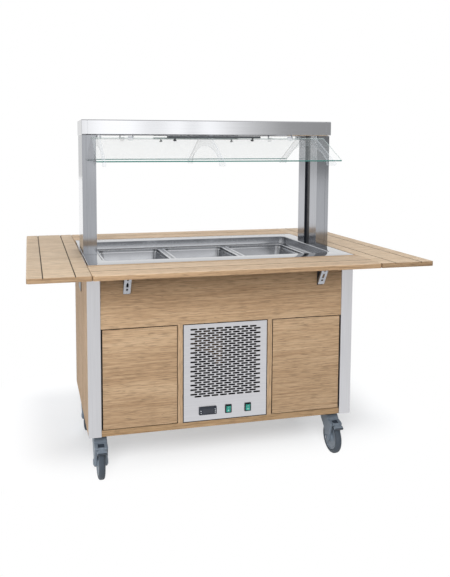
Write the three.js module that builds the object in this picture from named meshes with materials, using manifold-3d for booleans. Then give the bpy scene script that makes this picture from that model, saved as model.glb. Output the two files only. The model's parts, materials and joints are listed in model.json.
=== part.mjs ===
// A mobile salad bar: a wooden cabinet on castors with a chilled well for three food pans,
// a lit stainless gantry with glass guards over it, and wooden shelves that fold down all round.
// Millimetres, +Z up. X runs along the cabinet, the front faces -Y, and the origin lies on the
// floor below the middle of the cabinet.

import * as THREE from 'three';
import { mergeGeometries, mergeVertices } from 'three/addons/utils/BufferGeometryUtils.js';
import Module from 'manifold-3d';

const wasm = await Module();
wasm.setup();

const fit = 0.3; // gap left between two pieces that touch

// ---- pans, well and worktop: three standard pans set the length and depth of the whole ----
const panLength = 325;
const panDepth = 530;
const panGap = 13;
const panHeight = 100;
const panRim = 10;
const panRimThick = 3;
const panWall = 2.5;
const panTaper = 8;
const panRound = 32;
const barClearance = 0.3;
const barLip = 10;
const barThick = 4;
const wellEnd = 23.5; // from the outer pans' rims to the well's ends
const wellSide = 18;
const wellRound = 30;
const wellSteps = 3; // facets in each of the well's round corners
const rimDrop = 38; // the pans' rims lie this far below the worktop
const wellBottom = 700;
const sheetThick = 3;
const flangeWidth = 18;
const ledgeRound = 15;
const worktopEnd = 71; // from the well's ends to the worktop's ends
const worktopSide = 95;
const worktopThick = 20;
const worktopSheet = 3; // it is a folded sheet, open below
const worktopRound = 5;
const worktopHeight = 950;

// ---- cabinet ----
const bodyEnd = 5; // the cabinet is this much longer than the worktop at each end
const worktopOverhang = 18; // the worktop juts out this far in front and behind
const bodyBottom = 210;
const boardThick = 20;
const postWidth = 55;
const postDepth = 20;
const postRound = 4;
const postWall = 2;
const panelSetback = 4; // the wood lies this far behind the posts' faces
const floorThick = 26;
const frameHeight = 20;
const frameInset = 55; // the base frame stands back from the cabinet's front
const frameRail = 60;
const frameEnd = 105;
const frameSheet = 3; // its rails are channels, open above
const fasciaHeight = 277;
const fasciaGap = 3;
const floorGap = 3.5;
const bayWidth = 386; // the middle bay, between the dividers
const dividerThick = 22;
const doorGap = 2;
const hingeSetback = 6; // a door turns this far inside its outer front corner
const doorPinRadius = 3;

// ---- folding shelves and leaves ----
const stripWidth = 27; // fixed wooden strip between the worktop and a shelf
const shelfThick = 20;
const shelfGap = 2;
const shelfWidth = 200;
const shelfGroove = 105; // from the shelf's inner edge
const leafWidth = 240;
const leafPlank = 60; // width of the two outer planks
const leafGap = 2;
const grooveWidth = 3;
const grooveDepth = 2.5;
const cornerRound = 10;
const ledgeDrop = 7;

// ---- brackets under the shelves ----
const consoleEnd = 163; // from the cabinet's end to a bracket's middle
const shelfHingeDrop = 4; // hinge line below the shelf's underside
const shelfHingeOut = 3; // hinge line inside the shelf's inner edge
const knuckleRadius = 3.5;
const hingePin = 1.6;
const pinPlay = 0.4;
const stayWidth = 30;
const stayDepth = 12;
const stayLength = 99.5;
const stayAngle = 30.2; // from the vertical, at rest
const staySlotDrop = 14; // from the stay's pivot to the top of its slot
const staySlotLength = 20;
const staySlotWidth = 6.4;
const stayHoleDrop = 48; // from the stay's pivot to the hole below the slot
const stayHoleRadius = 4;
const stayPivotOut = 16; // the stay's pivot, outwards from the hinge line
const stayPivotDrop = 10;
const earReach = 26; // along the shelf, past the stay's pivot
const plateMetal = 2;
const wallPlateHeight = 105;
const wallPlateWidth = 24;

// ---- brackets under the side leaves ----
const leafHingeOut = 12; // outwards from the side panel
const leafHingeDrop = 25; // below the leaf's underside
const leafHingeY = 430; // from one hinge to the other
const leafKnuckle = 7;
const leafKnuckleLength = 30;
const leafPin = 3;
const leafStayWidth = 150;
const leafStayBar = 12;
const leafStayThick = 5;
const leafStayLength = 80;
const leafStayAngle = 40.5;
const leafStayPivotOut = 50;
const leafStayPivotRise = 12;

// ---- gantry ----
const pillarEdge = 2; // from the worktop's end to the pillar
const pillarThick = 62;
const pillarDepth = 216;
const pillarPost = 78;
const pillarCover = 18;
const infillRecess = 8;
const pillarSheet = 3;
const seamWidth = 2;
const seamDepth = 1.5;
const pillarHeight = 536;
const canopyOverhang = 2;
const canopyDepth = 241;
const canopyHeight = 68;
const canopyRound = 4;
const canopyCap = 25;
const canopySheet = 3;
const lampWidth = 60;
const lampEnd = 105;
const lampRadius = 8;
const lampRise = 14;
const lampSocket = 12;

// ---- glass ----
const paneOverlap = 21; // a pane reaches this far past the pillars' inner faces
const paneThick = 6;
const paneTopOut = 128; // from the gantry's middle plane
const paneTopDrop = 13; // below the canopy's underside
const paneLowOut = 322;
const paneLowDrop = 115;
const glassHingeEnd = 172; // from the pane's end to the hinge's middle
const glassHingeOut = 126;
const glassHingeDrop = 9.5;
const glassKnuckle = 5;
const glassKnuckleLength = 20;
const glassPin = 2;
const glassTongue = 16;
const lugThick = 4;
const supportThick = 8;
const supportGap = 14;
const supportTopOut = 118;
const supportTipOut = 331;
const supportTipDrop = 137;
const supportLip = 4.5;
const archHalf = 250;
const archDrop = 46;
const archSteps = 10;
const handleLength = 440;
const handleRadius = 4.5;
const handleOut = 165;
const handleDrop = 9;
const handleLegEnd = 37;
const handleLegRadius = 3.5;

// ---- castors ----
const castorEnd = 55;
const castorSide = 105;
const castorHeight = 190;
const castorTrail = 42;
const rearTurn = 12; // degrees that the rear castors are swivelled at rest
const wheelRadius = 75;
const wheelWidth = 32;
const hubWidth = 35;
const hubRadius = 20;
const axleRadius = 6;
const axlePlay = 0.5;
const axleCap = 14;
const forkWidth = 58;
const pocketWidth = 37;
const pocketGap = 5;
const hoodWall = 6;
const castorPlateLength = 100;
const castorPlateDepth = 85;
const castorPlateThick = 6;
const headRadius = 28;
const headThick = 6;
const pedalWidth = 42;
const pedalReach = 27;
const pedalBarrel = 6;
const pedalPin = 3;
const pedalThick = 9;
const pedalSlot = 29; // between the ears that carry the pedal
const pedalEar = 5.5;

// ---- cooling bay ----
const grilleSheet = 3;
const grilleGap = 3;
const grilleRail = 12;
const slotColumns = 8;
const slotLength = 30.5;
const slotHeight = 5.5;
const slotPitchX = 38.5;
const slotPitchZ = 10.3;
const slotTopGap = 22; // from the sheet's top edge to the first row
const slotLowGap = 45; // from the switches to the last row
const controlRise = 43.5; // the controls' middle above the sheet's bottom edge
const thermostatX = -81;
const thermostatLength = 80;
const thermostatHeight = 36;
const thermostatInset = 4.5; // bezel beyond the cut-out
const thermostatProud = 5;
const thermostatBodyDepth = 30;
const switchX = 13;
const switchPitch = 90;
const switchLength = 28;
const switchHeight = 38;
const bezelWall = 3.6;
const bezelProud = 2.5;
const bezelRound = 3;
const rockerLength = 19;
const rockerHeight = 27;
const rockerDepth = 9;
const rockerTilt = 6;
const condenserLength = 300;
const condenserHeight = 200;
const condenserDepth = 40;
const condenserSetback = 46; // behind the cabinet's front face
const condenserPlate = 5;
const finCount = 12;
const tankThick = 6; // what is left of the condenser behind its fins
const shroudGap = 9;
const shroudThick = 3;
const fanRadius = 80;
const fanBlades = 5;
const fanBladeWidth = 44;
const fanBladeThick = 1.8;
const fanHub = 16;
const fanBore = 4;
const fanOffset = 14; // from the condenser to the fan
const fanDepth = 16;
const motorGap = 2;
const motorRadius = 24;
const motorLength = 26;
const motorShaft = 3.5;
const standWidth = 18;
const standThick = 6;
const compressorRadius = 75;
const compressorHeight = 165;
const compressorFoot = 8;
const compressorY = 60;

// ---- planes that several pieces share ----
const panPitch = panLength + panGap;
const wellLength = 2 * panPitch + panLength + 2 * wellEnd;
const wellDepth = panDepth + 2 * wellSide;
const worktopLength = wellLength + 2 * worktopEnd;
const worktopDepth = wellDepth + 2 * worktopSide;
const halfLength = worktopLength / 2 + bodyEnd;
const halfDepth = worktopDepth / 2 - worktopOverhang;
const consoleX = halfLength - consoleEnd;
const castorX = halfLength - castorEnd;
const castorY = halfDepth - castorSide;
const plateBottom = worktopHeight - worktopThick;
const panelFace = halfDepth - panelSetback;
const panelBack = panelFace - boardThick;
const postBack = halfDepth - postDepth;
const postInner = halfLength - postWidth;
const sideInner = halfLength - boardThick;
const floorBottom = bodyBottom + fit;
const floorTop = bodyBottom + floorThick;
const ledgeBottom = plateBottom - ledgeDrop;
const fasciaBottom = worktopHeight - fasciaHeight;
const bayBottom = floorTop + floorGap;
const bayTop = fasciaBottom - fasciaGap;
const controlZ = bayBottom + controlRise;
const slotTopZ = bayTop - slotTopGap;
const slotLowest = controlZ + switchHeight / 2 + slotLowGap;
const slotRows = Math.floor((slotTopZ - slotLowest) / slotPitchZ) + 1;
const condenserFront = panelFace - condenserSetback;
const dividerInner = bayWidth / 2;
const dividerOuter = dividerInner + dividerThick;
const stripInner = worktopDepth / 2;
const stripOuter = stripInner + stripWidth;
const shelfInner = stripOuter + shelfGap;
const shelfOuter = shelfInner + shelfWidth;
const leafInner = halfLength + leafGap;
const leafOuter = leafInner + leafWidth;
const rimZ = worktopHeight - rimDrop;
const ledgeZ = rimZ - panRimThick - fit;
const shelfHingeY = shelfInner - shelfHingeOut;
const shelfHingeZ = plateBottom - shelfHingeDrop;
const leafHingeX = halfLength + leafHingeOut;
const leafHingeZ = plateBottom - leafHingeDrop;
const pillarOuter = worktopLength / 2 - pillarEdge;
const pillarInner = pillarOuter - pillarThick;
const canopyLength = 2 * (pillarOuter + canopyOverhang);
const canopyBottom = worktopHeight + pillarHeight;
const lampLength = canopyLength - 2 * lampEnd;
const paneLength = 2 * (pillarInner + paneOverlap);
const glassHingeX = paneLength / 2 - glassHingeEnd;
const supportX = pillarInner - supportGap;
const handleLegX = handleLength / 2 - handleLegEnd;
const paneTopZ = canopyBottom - paneTopDrop;
const paneLowZ = canopyBottom - paneLowDrop;
const glassHingeZ = canopyBottom - glassHingeDrop;

// ---- finishes ----
const finish = (color, roughness, metalness) =>
  new THREE.MeshStandardMaterial({ color, roughness, metalness });
const oak = finish(0xb89b79, 0.6, 0);
const steel = finish(0xc9cccf, 0.28, 1);
const glass = finish(0xcfe6e2, 0.05, 0);
const darkSteel = finish(0x4a4d50, 0.45, 0.8);
const castorPlastic = finish(0x8e9aa8, 0.5, 0);
const tread = finish(0x4a525b, 0.8, 0);
const blackPlastic = finish(0x1b1f26, 0.4, 0);
const rockerGreen = finish(0x3f9080, 0.35, 0);
const zinc = finish(0x8f9498, 0.4, 0.9);

// ---- shaping ----
const solidOf = (geometry) => {
  const bare = new THREE.BufferGeometry();
  bare.setAttribute('position', geometry.getAttribute('position'));
  bare.setIndex(geometry.getIndex());
  const merged = mergeVertices(bare, 1e-4);
  const vertProperties = new Float32Array(merged.getAttribute('position').array);
  const triVerts = new Uint32Array(merged.getIndex().array);
  return new wasm.Manifold(new wasm.Mesh({ numProp: 3, vertProperties, triVerts }));
};

const geometryOf = (solid) => {
  const mesh = solid.getMesh();
  const geometry = new THREE.BufferGeometry();
  geometry.setAttribute('position', new THREE.BufferAttribute(mesh.vertProperties, 3));
  geometry.setIndex(new THREE.BufferAttribute(mesh.triVerts, 1));
  return geometry;
};

const join = (...geometries) =>
  geometryOf(geometries.map(solidOf).reduce((whole, piece) => whole.add(piece)));
const cut = (geometry, ...tools) =>
  geometryOf(tools.map(solidOf).reduce((whole, tool) => whole.subtract(tool), solidOf(geometry)));
const trim = (geometry, tool) => geometryOf(solidOf(geometry).intersect(solidOf(tool)));

const box = (x0, x1, y0, y1, z0, z1) =>
  new THREE.BoxGeometry(x1 - x0, y1 - y0, z1 - z0)
    .translate((x0 + x1) / 2, (y0 + y1) / 2, (z0 + z1) / 2);

const extrude = (shape, depth) =>
  new THREE.ExtrudeGeometry(shape, { depth, bevelEnabled: false, curveSegments: 3 });

// Outlines are drawn in XY, in YZ or in XZ and pushed along the third axis.
const alongZ = (shape, z0, z1) => extrude(shape, z1 - z0).translate(0, 0, z0);
const alongX = (shape, x0, x1) => {
  const turn = new THREE.Matrix4().set(0, 0, 1, x0, 1, 0, 0, 0, 0, 1, 0, 0, 0, 0, 0, 1);
  return extrude(shape, x1 - x0).applyMatrix4(turn);
};
const alongY = (shape, y0, y1) => {
  const turn = new THREE.Matrix4().set(1, 0, 0, 0, 0, 0, -1, y1, 0, 1, 0, 0, 0, 0, 0, 1);
  return extrude(shape, y1 - y0).applyMatrix4(turn);
};

const vectors = (points) => points.map(([a, b]) => new THREE.Vector2(a, b));
const polygon = (points) => new THREE.Shape(vectors(points));

// Points on an arc, with angles in turns.
const arc = (a, b, r, from, to, steps) =>
  Array.from({ length: steps + 1 }, (_, k) => {
    const angle = 2 * Math.PI * (from + ((to - from) * k) / steps);
    return [a + r * Math.cos(angle), b + r * Math.sin(angle)];
  });

const roundedPoints = (a0, a1, b0, b1, r, steps) => [
  ...arc(a1 - r, b0 + r, r, -0.25, 0, steps),
  ...arc(a1 - r, b1 - r, r, 0, 0.25, steps),
  ...arc(a0 + r, b1 - r, r, 0.25, 0.5, steps),
  ...arc(a0 + r, b0 + r, r, 0.5, 0.75, steps),
];
const rounded = (a0, a1, b0, b1, r, steps = 2) => polygon(roundedPoints(a0, a1, b0, b1, r, steps));
const roundedHole = (a0, a1, b0, b1, r, steps = 2) =>
  new THREE.Path(vectors(roundedPoints(a0, a1, b0, b1, r, steps)));
const discPoints = (a, b, r, sides) => arc(a, b, r, 0, 1 - 1 / sides, sides - 1);
const disc = (a, b, r, sides = 8) => polygon(discPoints(a, b, r, sides));
const roundHole = (a, b, r, sides = 8) => new THREE.Path(vectors(discPoints(a, b, r, sides)));

// A bar with round ends between two points of an outline's plane.
const capsule = (a0, b0, a1, b1, r, steps = 3) => {
  const heading = Math.atan2(b1 - b0, a1 - a0) / (2 * Math.PI);
  return polygon([
    ...arc(a1, b1, r, heading - 0.25, heading + 0.25, steps),
    ...arc(a0, b0, r, heading + 0.25, heading + 0.75, steps),
  ]);
};

const withHoles = (shape, ...holes) => {
  shape.holes.push(...holes);
  return shape;
};

const rodX = (x0, x1, y, z, r, sides = 8) =>
  new THREE.CylinderGeometry(r, r, x1 - x0, sides).rotateZ(Math.PI / 2)
    .translate((x0 + x1) / 2, y, z);
const rodY = (y0, y1, x, z, r, sides = 8) =>
  new THREE.CylinderGeometry(r, r, y1 - y0, sides).translate(x, (y0 + y1) / 2, z);
const rodZ = (z0, z1, x, y, r, sides = 12) =>
  new THREE.CylinderGeometry(r, r, z1 - z0, sides).rotateX(Math.PI / 2)
    .translate(x, y, (z0 + z1) / 2);

// A closed skin through rings of points; the first and last rings are capped.
const loft = (rings) => {
  const count = rings[0].length;
  const points = rings.flat();
  const faces = [];
  for (let ring = 0; ring + 1 < rings.length; ring += 1) {
    for (let k = 0; k < count; k += 1) {
      const a = ring * count + k;
      const b = ring * count + ((k + 1) % count);
      faces.push(a, b, b + count, a, b + count, a + count);
    }
  }
  const last = (rings.length - 1) * count;
  for (let k = 1; k + 1 < count; k += 1) {
    faces.push(0, k + 1, k, last, last + k, last + k + 1);
  }
  const geometry = new THREE.BufferGeometry();
  const flat = new Float32Array(points.flatMap((p) => [p.x, p.y, p.z]));
  geometry.setAttribute('position', new THREE.BufferAttribute(flat, 3));
  geometry.setIndex(faces);
  return geometry;
};

// A level ring with round corners, given by its half sizes.
const ringAt = (z, halfX, halfY, r, steps = 2) => {
  const ring = [];
  const corners = [[1, -1, -0.5], [1, 1, 0], [-1, 1, 0.5], [-1, -1, 1]];
  for (const [sx, sy, start] of corners) {
    for (let k = 0; k <= steps; k += 1) {
      const angle = (start + (0.5 * k) / steps) * Math.PI;
      const x = sx * (halfX - r) + r * Math.cos(angle);
      const y = sy * (halfY - r) + r * Math.sin(angle);
      ring.push(new THREE.Vector3(x, y, z));
    }
  }
  return ring;
};

const salad = new THREE.Group();
const rearSide = new THREE.Group();
const leftSide = new THREE.Group();
rearSide.rotation.z = Math.PI;
leftSide.rotation.z = Math.PI;
salad.add(rearSide, leftSide);

const place = (name, geometry, material, parent = salad) => {
  const mesh = new THREE.Mesh(geometry, material);
  mesh.name = name;
  parent.add(mesh);
  return mesh;
};

// ---- base frame with the castors' top plates ----
const makeBaseFrame = () => {
  const outerX = castorX + castorPlateLength / 2 + fit;
  const outerY = halfDepth - frameInset;
  const ring = withHoles(
    rounded(-outerX, outerX, -outerY, outerY, 4, 1),
    roundedHole(-outerX + frameEnd, outerX - frameEnd, -outerY + frameRail, outerY - frameRail, 4, 1),
  );
  const w = frameSheet;
  const channel = withHoles(
    rounded(-outerX + w, outerX - w, -outerY + w, outerY - w, 4, 1),
    roundedHole(-outerX + frameEnd - w, outerX - frameEnd + w, -outerY + frameRail - w,
      outerY - frameRail + w, 4, 1),
  );
  const frameBottom = bodyBottom - frameHeight;
  const pieces = [
    cut(alongZ(ring, frameBottom, bodyBottom), alongZ(channel, frameBottom + w, bodyBottom + 1)),
  ];
  const plateTop = castorHeight;
  const halfX = castorPlateLength / 2;
  const halfY = castorPlateDepth / 2;
  for (const sx of [-1, 1]) {
    for (const sy of [-1, 1]) {
      const x = sx * castorX;
      const y = sy * castorY;
      const plate = rounded(x - halfX, x + halfX, y - halfY, y + halfY, 8, 1);
      pieces.push(alongZ(plate, plateTop - castorPlateThick, plateTop));
      const headBottom = plateTop - castorPlateThick - headThick;
      pieces.push(rodZ(headBottom, plateTop - castorPlateThick, x, y, headRadius));
    }
  }
  return join(...pieces);
};

// ---- cabinet ----
const makeFloor = () => {
  const x = sideInner - fit;
  const y = postBack - fit;
  const tongueX = postInner - fit;
  const tongueY = panelFace;
  const outline = polygon([
    [-x, -y], [-tongueX, -y], [-tongueX, -tongueY], [tongueX, -tongueY], [tongueX, -y], [x, -y],
    [x, y], [tongueX, y], [tongueX, tongueY], [-tongueX, tongueY], [-tongueX, y], [-x, y],
  ]);
  return alongZ(outline, floorBottom, floorTop);
};

const postTop = ledgeBottom - fit;
const makePost = () => {
  const half = postWidth / 2;
  const wall = postWall;
  const tube = withHoles(
    rounded(-half, half, 0, postDepth, postRound, 1),
    roundedHole(-half + wall, half - wall, wall, postDepth - wall, postRound - wall, 1),
  );
  return alongZ(tube, floorBottom, postTop);
};

// Wooden rail under and beside the worktop: it carries the fixed strip that the shelf hangs on.
const railOutline = () => {
  const ledgeOuter = shelfHingeY - shelfHingeOut * 4;
  return polygon([
    [-postBack, ledgeBottom], [-postBack, plateBottom - fit], [-stripInner - fit, plateBottom - fit],
    [-stripInner - fit, worktopHeight], [-stripOuter, worktopHeight], [-stripOuter, plateBottom],
    [-ledgeOuter, plateBottom], [-ledgeOuter, ledgeBottom],
  ].reverse());
};

// The fixed half of a shelf's bracket: wall plate, hinge knuckle under the strip, and its pin.
const wallBracket = (x) => {
  const halfPlate = wallPlateWidth / 2;
  const y = -shelfHingeY;
  const top = ledgeBottom;
  const bottom = top - wallPlateHeight;
  const base = box(x - halfPlate, x + halfPlate, -panelFace - plateMetal, -panelFace + 1, bottom, top);
  const rib = panelFace + stayDepth - stayPivotOut / 2;
  const ribs = [-1, 1].map((side) => {
    const edge = x + side * (halfPlate - plateMetal / 2);
    return box(edge - plateMetal / 2, edge + plateMetal / 2, -rib, -panelFace, bottom, top);
  });
  const reach = stayWidth / 2 + plateMetal + 2;
  const barrelHalf = stayWidth / 2 - plateMetal;
  const barrel = rodX(x - barrelHalf, x + barrelHalf, y, shelfHingeZ, knuckleRadius);
  const hanger = box(x - barrelHalf, x + barrelHalf, y - 1, y + knuckleRadius, shelfHingeZ, plateBottom + 1);
  const pin = rodX(x - reach, x + reach, y, shelfHingeZ, hingePin);
  return [base, ...ribs, barrel, hanger, pin];
};

const makeFascia = (bottom) => {
  const board = box(-postInner + fit, postInner - fit, -panelFace, -panelBack, bottom, ledgeBottom + 1);
  const rail = alongX(railOutline(), -halfLength, halfLength);
  return join(board, rail, ...wallBracket(-consoleX), ...wallBracket(consoleX));
};

const makeSidePanel = () => {
  const y = postBack - fit;
  const panel = box(sideInner, halfLength, -y, y, floorBottom, plateBottom - fit);
  const ears = [];
  for (const side of [-1, 1]) {
    const hingeY = (side * leafHingeY) / 2;
    const y0 = hingeY - leafKnuckleLength;
    ears.push(rodY(y0, hingeY, leafHingeX, leafHingeZ, leafKnuckle));
    ears.push(box(halfLength - 1, leafHingeX, y0, hingeY,
      leafHingeZ - leafKnuckle, leafHingeZ + leafKnuckle));
    ears.push(rodY(y0, hingeY + leafKnuckleLength + 2, leafHingeX, leafHingeZ, leafPin));
  }
  const guideHalf = leafStayWidth / 2 - leafStayBar;
  const guideTop = leafHingeZ - leafStayLength / 4;
  const guideBottom = leafHingeZ - leafStayPivotOut - leafStayLength;
  const guide = box(halfLength - 1, halfLength + sheetThick, -guideHalf, guideHalf, guideBottom, guideTop);
  return join(panel, ...ears, guide);
};

const makeDivider = () =>
  box(dividerInner, dividerOuter, -panelFace, panelBack - fit, floorTop + fit, fasciaBottom - fit);

// A door for the right-hand bay: its outer front edge is round about the hinge line.
const makeDoor = () => {
  const inner = dividerOuter + 3;
  const outer = postInner - doorGap;
  const front = -panelFace;
  const shape = new THREE.Shape();
  shape.moveTo(inner, front);
  shape.lineTo(outer - hingeSetback, front);
  shape.absarc(outer - hingeSetback, front + hingeSetback, hingeSetback, -Math.PI / 2, 0, false);
  shape.lineTo(outer, -panelBack);
  shape.lineTo(inner, -panelBack);
  const leaf = alongZ(shape, bayBottom, bayTop);
  const pinX = outer - hingeSetback;
  const pinY = front + hingeSetback;
  const pin = rodZ(floorTop + fit, fasciaBottom - fit, pinX, pinY, doorPinRadius, 8);
  return join(leaf, pin);
};

// ---- cooling bay ----
const controlCut = (x, length, height, inset) =>
  box(x - length / 2 + inset, x + length / 2 - inset, -halfDepth - 10, -panelBack,
    controlZ - height / 2 + inset, controlZ + height / 2 - inset);

const switchPlaces = [switchX, switchX + switchPitch];
const rockerHoleLength = switchLength - 2 * bezelWall;
const rockerHoleHeight = switchHeight - 2 * bezelWall;

const makeGrille = () => {
  const halfX = dividerInner - grilleGap;
  const back = -panelFace + grilleSheet - 1;
  const front = back - grilleSheet;
  const sheet = box(-halfX, halfX, front, back, bayBottom, bayTop);
  const field = (slotColumns - 0.5) * slotPitchX + slotLength;
  const openings = [];
  for (let row = 0; row < slotRows; row += 1) {
    const z = slotTopZ - row * slotPitchZ;
    const shift = row % 2 ? slotPitchX / 2 : 0;
    for (let column = 0; column < slotColumns; column += 1) {
      const x = -field / 2 + shift + column * slotPitchX;
      openings.push(box(x, x + slotLength, front - 1, back + 1, z - slotHeight / 2, z + slotHeight / 2));
    }
  }
  openings.push(controlCut(thermostatX, thermostatLength, thermostatHeight, thermostatInset));
  for (const x of switchPlaces) {
    openings.push(controlCut(x, switchLength, switchHeight, bezelWall));
  }
  const pieces = [cut(sheet, mergeGeometries(openings))];
  for (const side of [-1, 1]) {
    const wall = side * (dividerInner - fit);
    const inside = side * (halfX - grilleRail);
    const x0 = Math.min(wall, inside);
    const x1 = Math.max(wall, inside);
    pieces.push(box(x0, x1, back, back + grilleRail, floorTop + fit, bayTop));
  }
  for (const x of switchPlaces) {
    const bezel = rounded(x - switchLength / 2, x + switchLength / 2,
      controlZ - switchHeight / 2, controlZ + switchHeight / 2, bezelRound);
    const hole = controlCut(x, switchLength, switchHeight, bezelWall);
    pieces.push(cut(alongY(bezel, front - bezelProud, front + 1), hole));
  }
  return join(...pieces);
};

const grilleFront = -panelFace - 1;

const makeThermostat = () => {
  const halfX = thermostatLength / 2;
  const halfZ = thermostatHeight / 2;
  const outline = rounded(thermostatX - halfX, thermostatX + halfX, controlZ - halfZ, controlZ + halfZ,
    bezelRound);
  const bezel = alongY(outline, grilleFront - fit - thermostatProud, grilleFront - fit);
  const bodyX = halfX - thermostatInset - fit;
  const bodyZ = halfZ - thermostatInset - fit;
  const body = box(thermostatX - bodyX, thermostatX + bodyX, grilleFront - fit - 1,
    grilleFront + thermostatBodyDepth, controlZ - bodyZ, controlZ + bodyZ);
  const screenX = halfX * 0.8;
  const screenZ = halfZ * 0.5;
  const screen = box(thermostatX - screenX, thermostatX + screenX,
    grilleFront - thermostatProud * 2, grilleFront - thermostatProud, controlZ - screenZ, controlZ + screenZ);
  return cut(join(bezel, body), screen);
};

// A rocker paddle about its own pivot, tilted to the side that is pressed in.
const makeRocker = () => {
  const half = rockerHeight / 2;
  const paddle = polygon([
    [-rockerDepth / 2 - 1.5, -half], [rockerDepth / 2, -half + 3], [rockerDepth / 2, half - 3],
    [-rockerDepth / 2 - 1.5, half], [-rockerDepth / 2 + 0.5, 0],
  ]);
  const pivot = rodX(-rockerHoleLength / 2 + fit, rockerHoleLength / 2 - fit, 0, 0, 1.5);
  return join(alongX(paddle, -rockerLength / 2, rockerLength / 2), pivot);
};

const fanZ = floorTop + fit + condenserHeight / 2;
const fanFront = -condenserFront + condenserDepth + fanOffset;
const motorFront = fanFront + fanDepth + motorGap;

const makeCondenser = () => {
  const halfX = condenserLength / 2;
  const y0 = -condenserFront;
  const y1 = y0 + condenserDepth;
  const bottom = floorTop + fit;
  const top = bottom + condenserHeight;
  const pitch = condenserLength / finCount;
  const comb = [[-halfX, y1], [-halfX, y0]];
  for (let fin = 1; fin < finCount; fin += 1) {
    const x = -halfX + fin * pitch;
    const gap = pitch * 0.3;
    comb.push([x - gap, y0], [x - gap, y1 - tankThick], [x + gap, y1 - tankThick], [x + gap, y0]);
  }
  comb.push([halfX, y0], [halfX, y1]);
  const fins = alongZ(polygon(comb), bottom + condenserPlate, top - condenserPlate);
  const windowRadius = fanRadius + shroudGap;
  const window = roundHole(0, fanZ, windowRadius, 16);
  const shroud = withHoles(polygon([[-halfX, bottom], [halfX, bottom], [halfX, top], [-halfX, top]]), window);
  const backPlate = alongY(shroud, y1 - tankThick - 1, y1 - tankThick - 1 + shroudThick);
  const tank = cut(fins, rodY(y1 - condenserDepth / 2, y1 + 1, 0, fanZ, windowRadius, 16));
  const standBack = motorFront + motorLength + standThick - 2;
  const feet = box(-halfX, halfX, y0, standBack, bottom, bottom + condenserPlate);
  const head = box(-halfX, halfX, y0, standBack, top - condenserPlate, top);
  const stand = box(-standWidth / 2, standWidth / 2, standBack - standThick, standBack, bottom, top);
  const motor = rodY(motorFront, motorFront + motorLength, 0, fanZ, motorRadius, 12);
  const shaft = rodY(fanFront - motorShaft, motorFront + 1, 0, fanZ, motorShaft);
  return join(tank, backPlate, feet, head, stand, motor, shaft);
};

const makeFan = () => {
  const hub = alongY(disc(0, 0, fanHub), 0, fanDepth);
  const blades = [];
  for (let k = 0; k < fanBlades; k += 1) {
    const blade = box(-fanBladeWidth / 2, fanBladeWidth / 2, -fanBladeThick / 2, fanBladeThick / 2,
      fanHub * 0.75, fanRadius);
    blade.rotateZ(THREE.MathUtils.degToRad(22)).translate(0, fanDepth / 2, 0);
    blades.push(blade.rotateY((k * 2 * Math.PI) / fanBlades));
  }
  const bore = rodY(-fanDepth, 2 * fanDepth, 0, 0, fanBore);
  return cut(join(hub, ...blades), bore);
};

const makeCompressor = () => {
  const r = compressorRadius;
  const h = compressorHeight;
  const foot = compressorFoot;
  const outline = [
    [0, 0], [r + foot, 0], [r + foot, foot], [r, 1.75 * foot],
    [r, h * 0.62], [r * 0.9, h * 0.85], [r * 0.55, h], [0, h],
  ];
  const pot = new THREE.LatheGeometry(vectors(outline), 16);
  return pot.rotateX(Math.PI / 2);
};

// ---- worktop, well and pans ----
const makeTopPlate = () => {
  const halfX = worktopLength / 2;
  const halfY = worktopDepth / 2;
  const plate = withHoles(
    rounded(-halfX, halfX, -halfY, halfY, worktopRound, 1),
    roundedHole(-wellLength / 2, wellLength / 2, -wellDepth / 2, wellDepth / 2, wellRound, wellSteps),
  );
  const w = worktopSheet;
  const underside = withHoles(
    rounded(-halfX + w, halfX - w, -halfY + w, halfY - w, worktopRound - w, 1),
    roundedHole(-wellLength / 2 - w, wellLength / 2 + w, -wellDepth / 2 - w, wellDepth / 2 + w,
      wellRound + w, wellSteps),
  );
  const pocket = alongZ(underside, plateBottom - 1, worktopHeight - w);
  return cut(alongZ(plate, plateBottom, worktopHeight), pocket);
};

const wellX = wellLength / 2 - fit;
const wellY = wellDepth / 2 - fit;
const wellR = wellRound - fit;
const ledgeX = panPitch + panLength / 2 - panRim + 1.5;
const ledgeY = panDepth / 2 - panRim + 1.5;

const makeWellTub = () => {
  const t = sheetThick;
  const f = flangeWidth;
  const flangeTop = plateBottom - fit;
  const rings = [
    [wellBottom, ledgeX - 12, ledgeY - 12, ledgeRound],
    [wellBottom + 10, ledgeX + t, ledgeY + t, ledgeRound + t],
    [ledgeZ - t, ledgeX + t, ledgeY + t, ledgeRound + t],
    [ledgeZ - t, wellX, wellY, wellR],
    [flangeTop - t, wellX, wellY, wellR],
    [flangeTop - t, wellX + f, wellY + f, wellR + f],
    [flangeTop, wellX + f, wellY + f, wellR + f],
    [flangeTop, wellX, wellY, wellR],
    [worktopHeight - 2, wellX, wellY, wellR],
    [worktopHeight - 2, wellX - t, wellY - t, wellR - t],
    [ledgeZ, wellX - t, wellY - t, wellR - t],
    [ledgeZ, ledgeX, ledgeY, ledgeRound],
    [wellBottom + 10 + t, ledgeX, ledgeY, ledgeRound],
    [wellBottom + t, ledgeX - 14, ledgeY - 14, ledgeRound],
  ];
  return loft(rings.map(([z, x, y, r]) => ringAt(z, x, y, r, wellSteps)));
};

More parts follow.
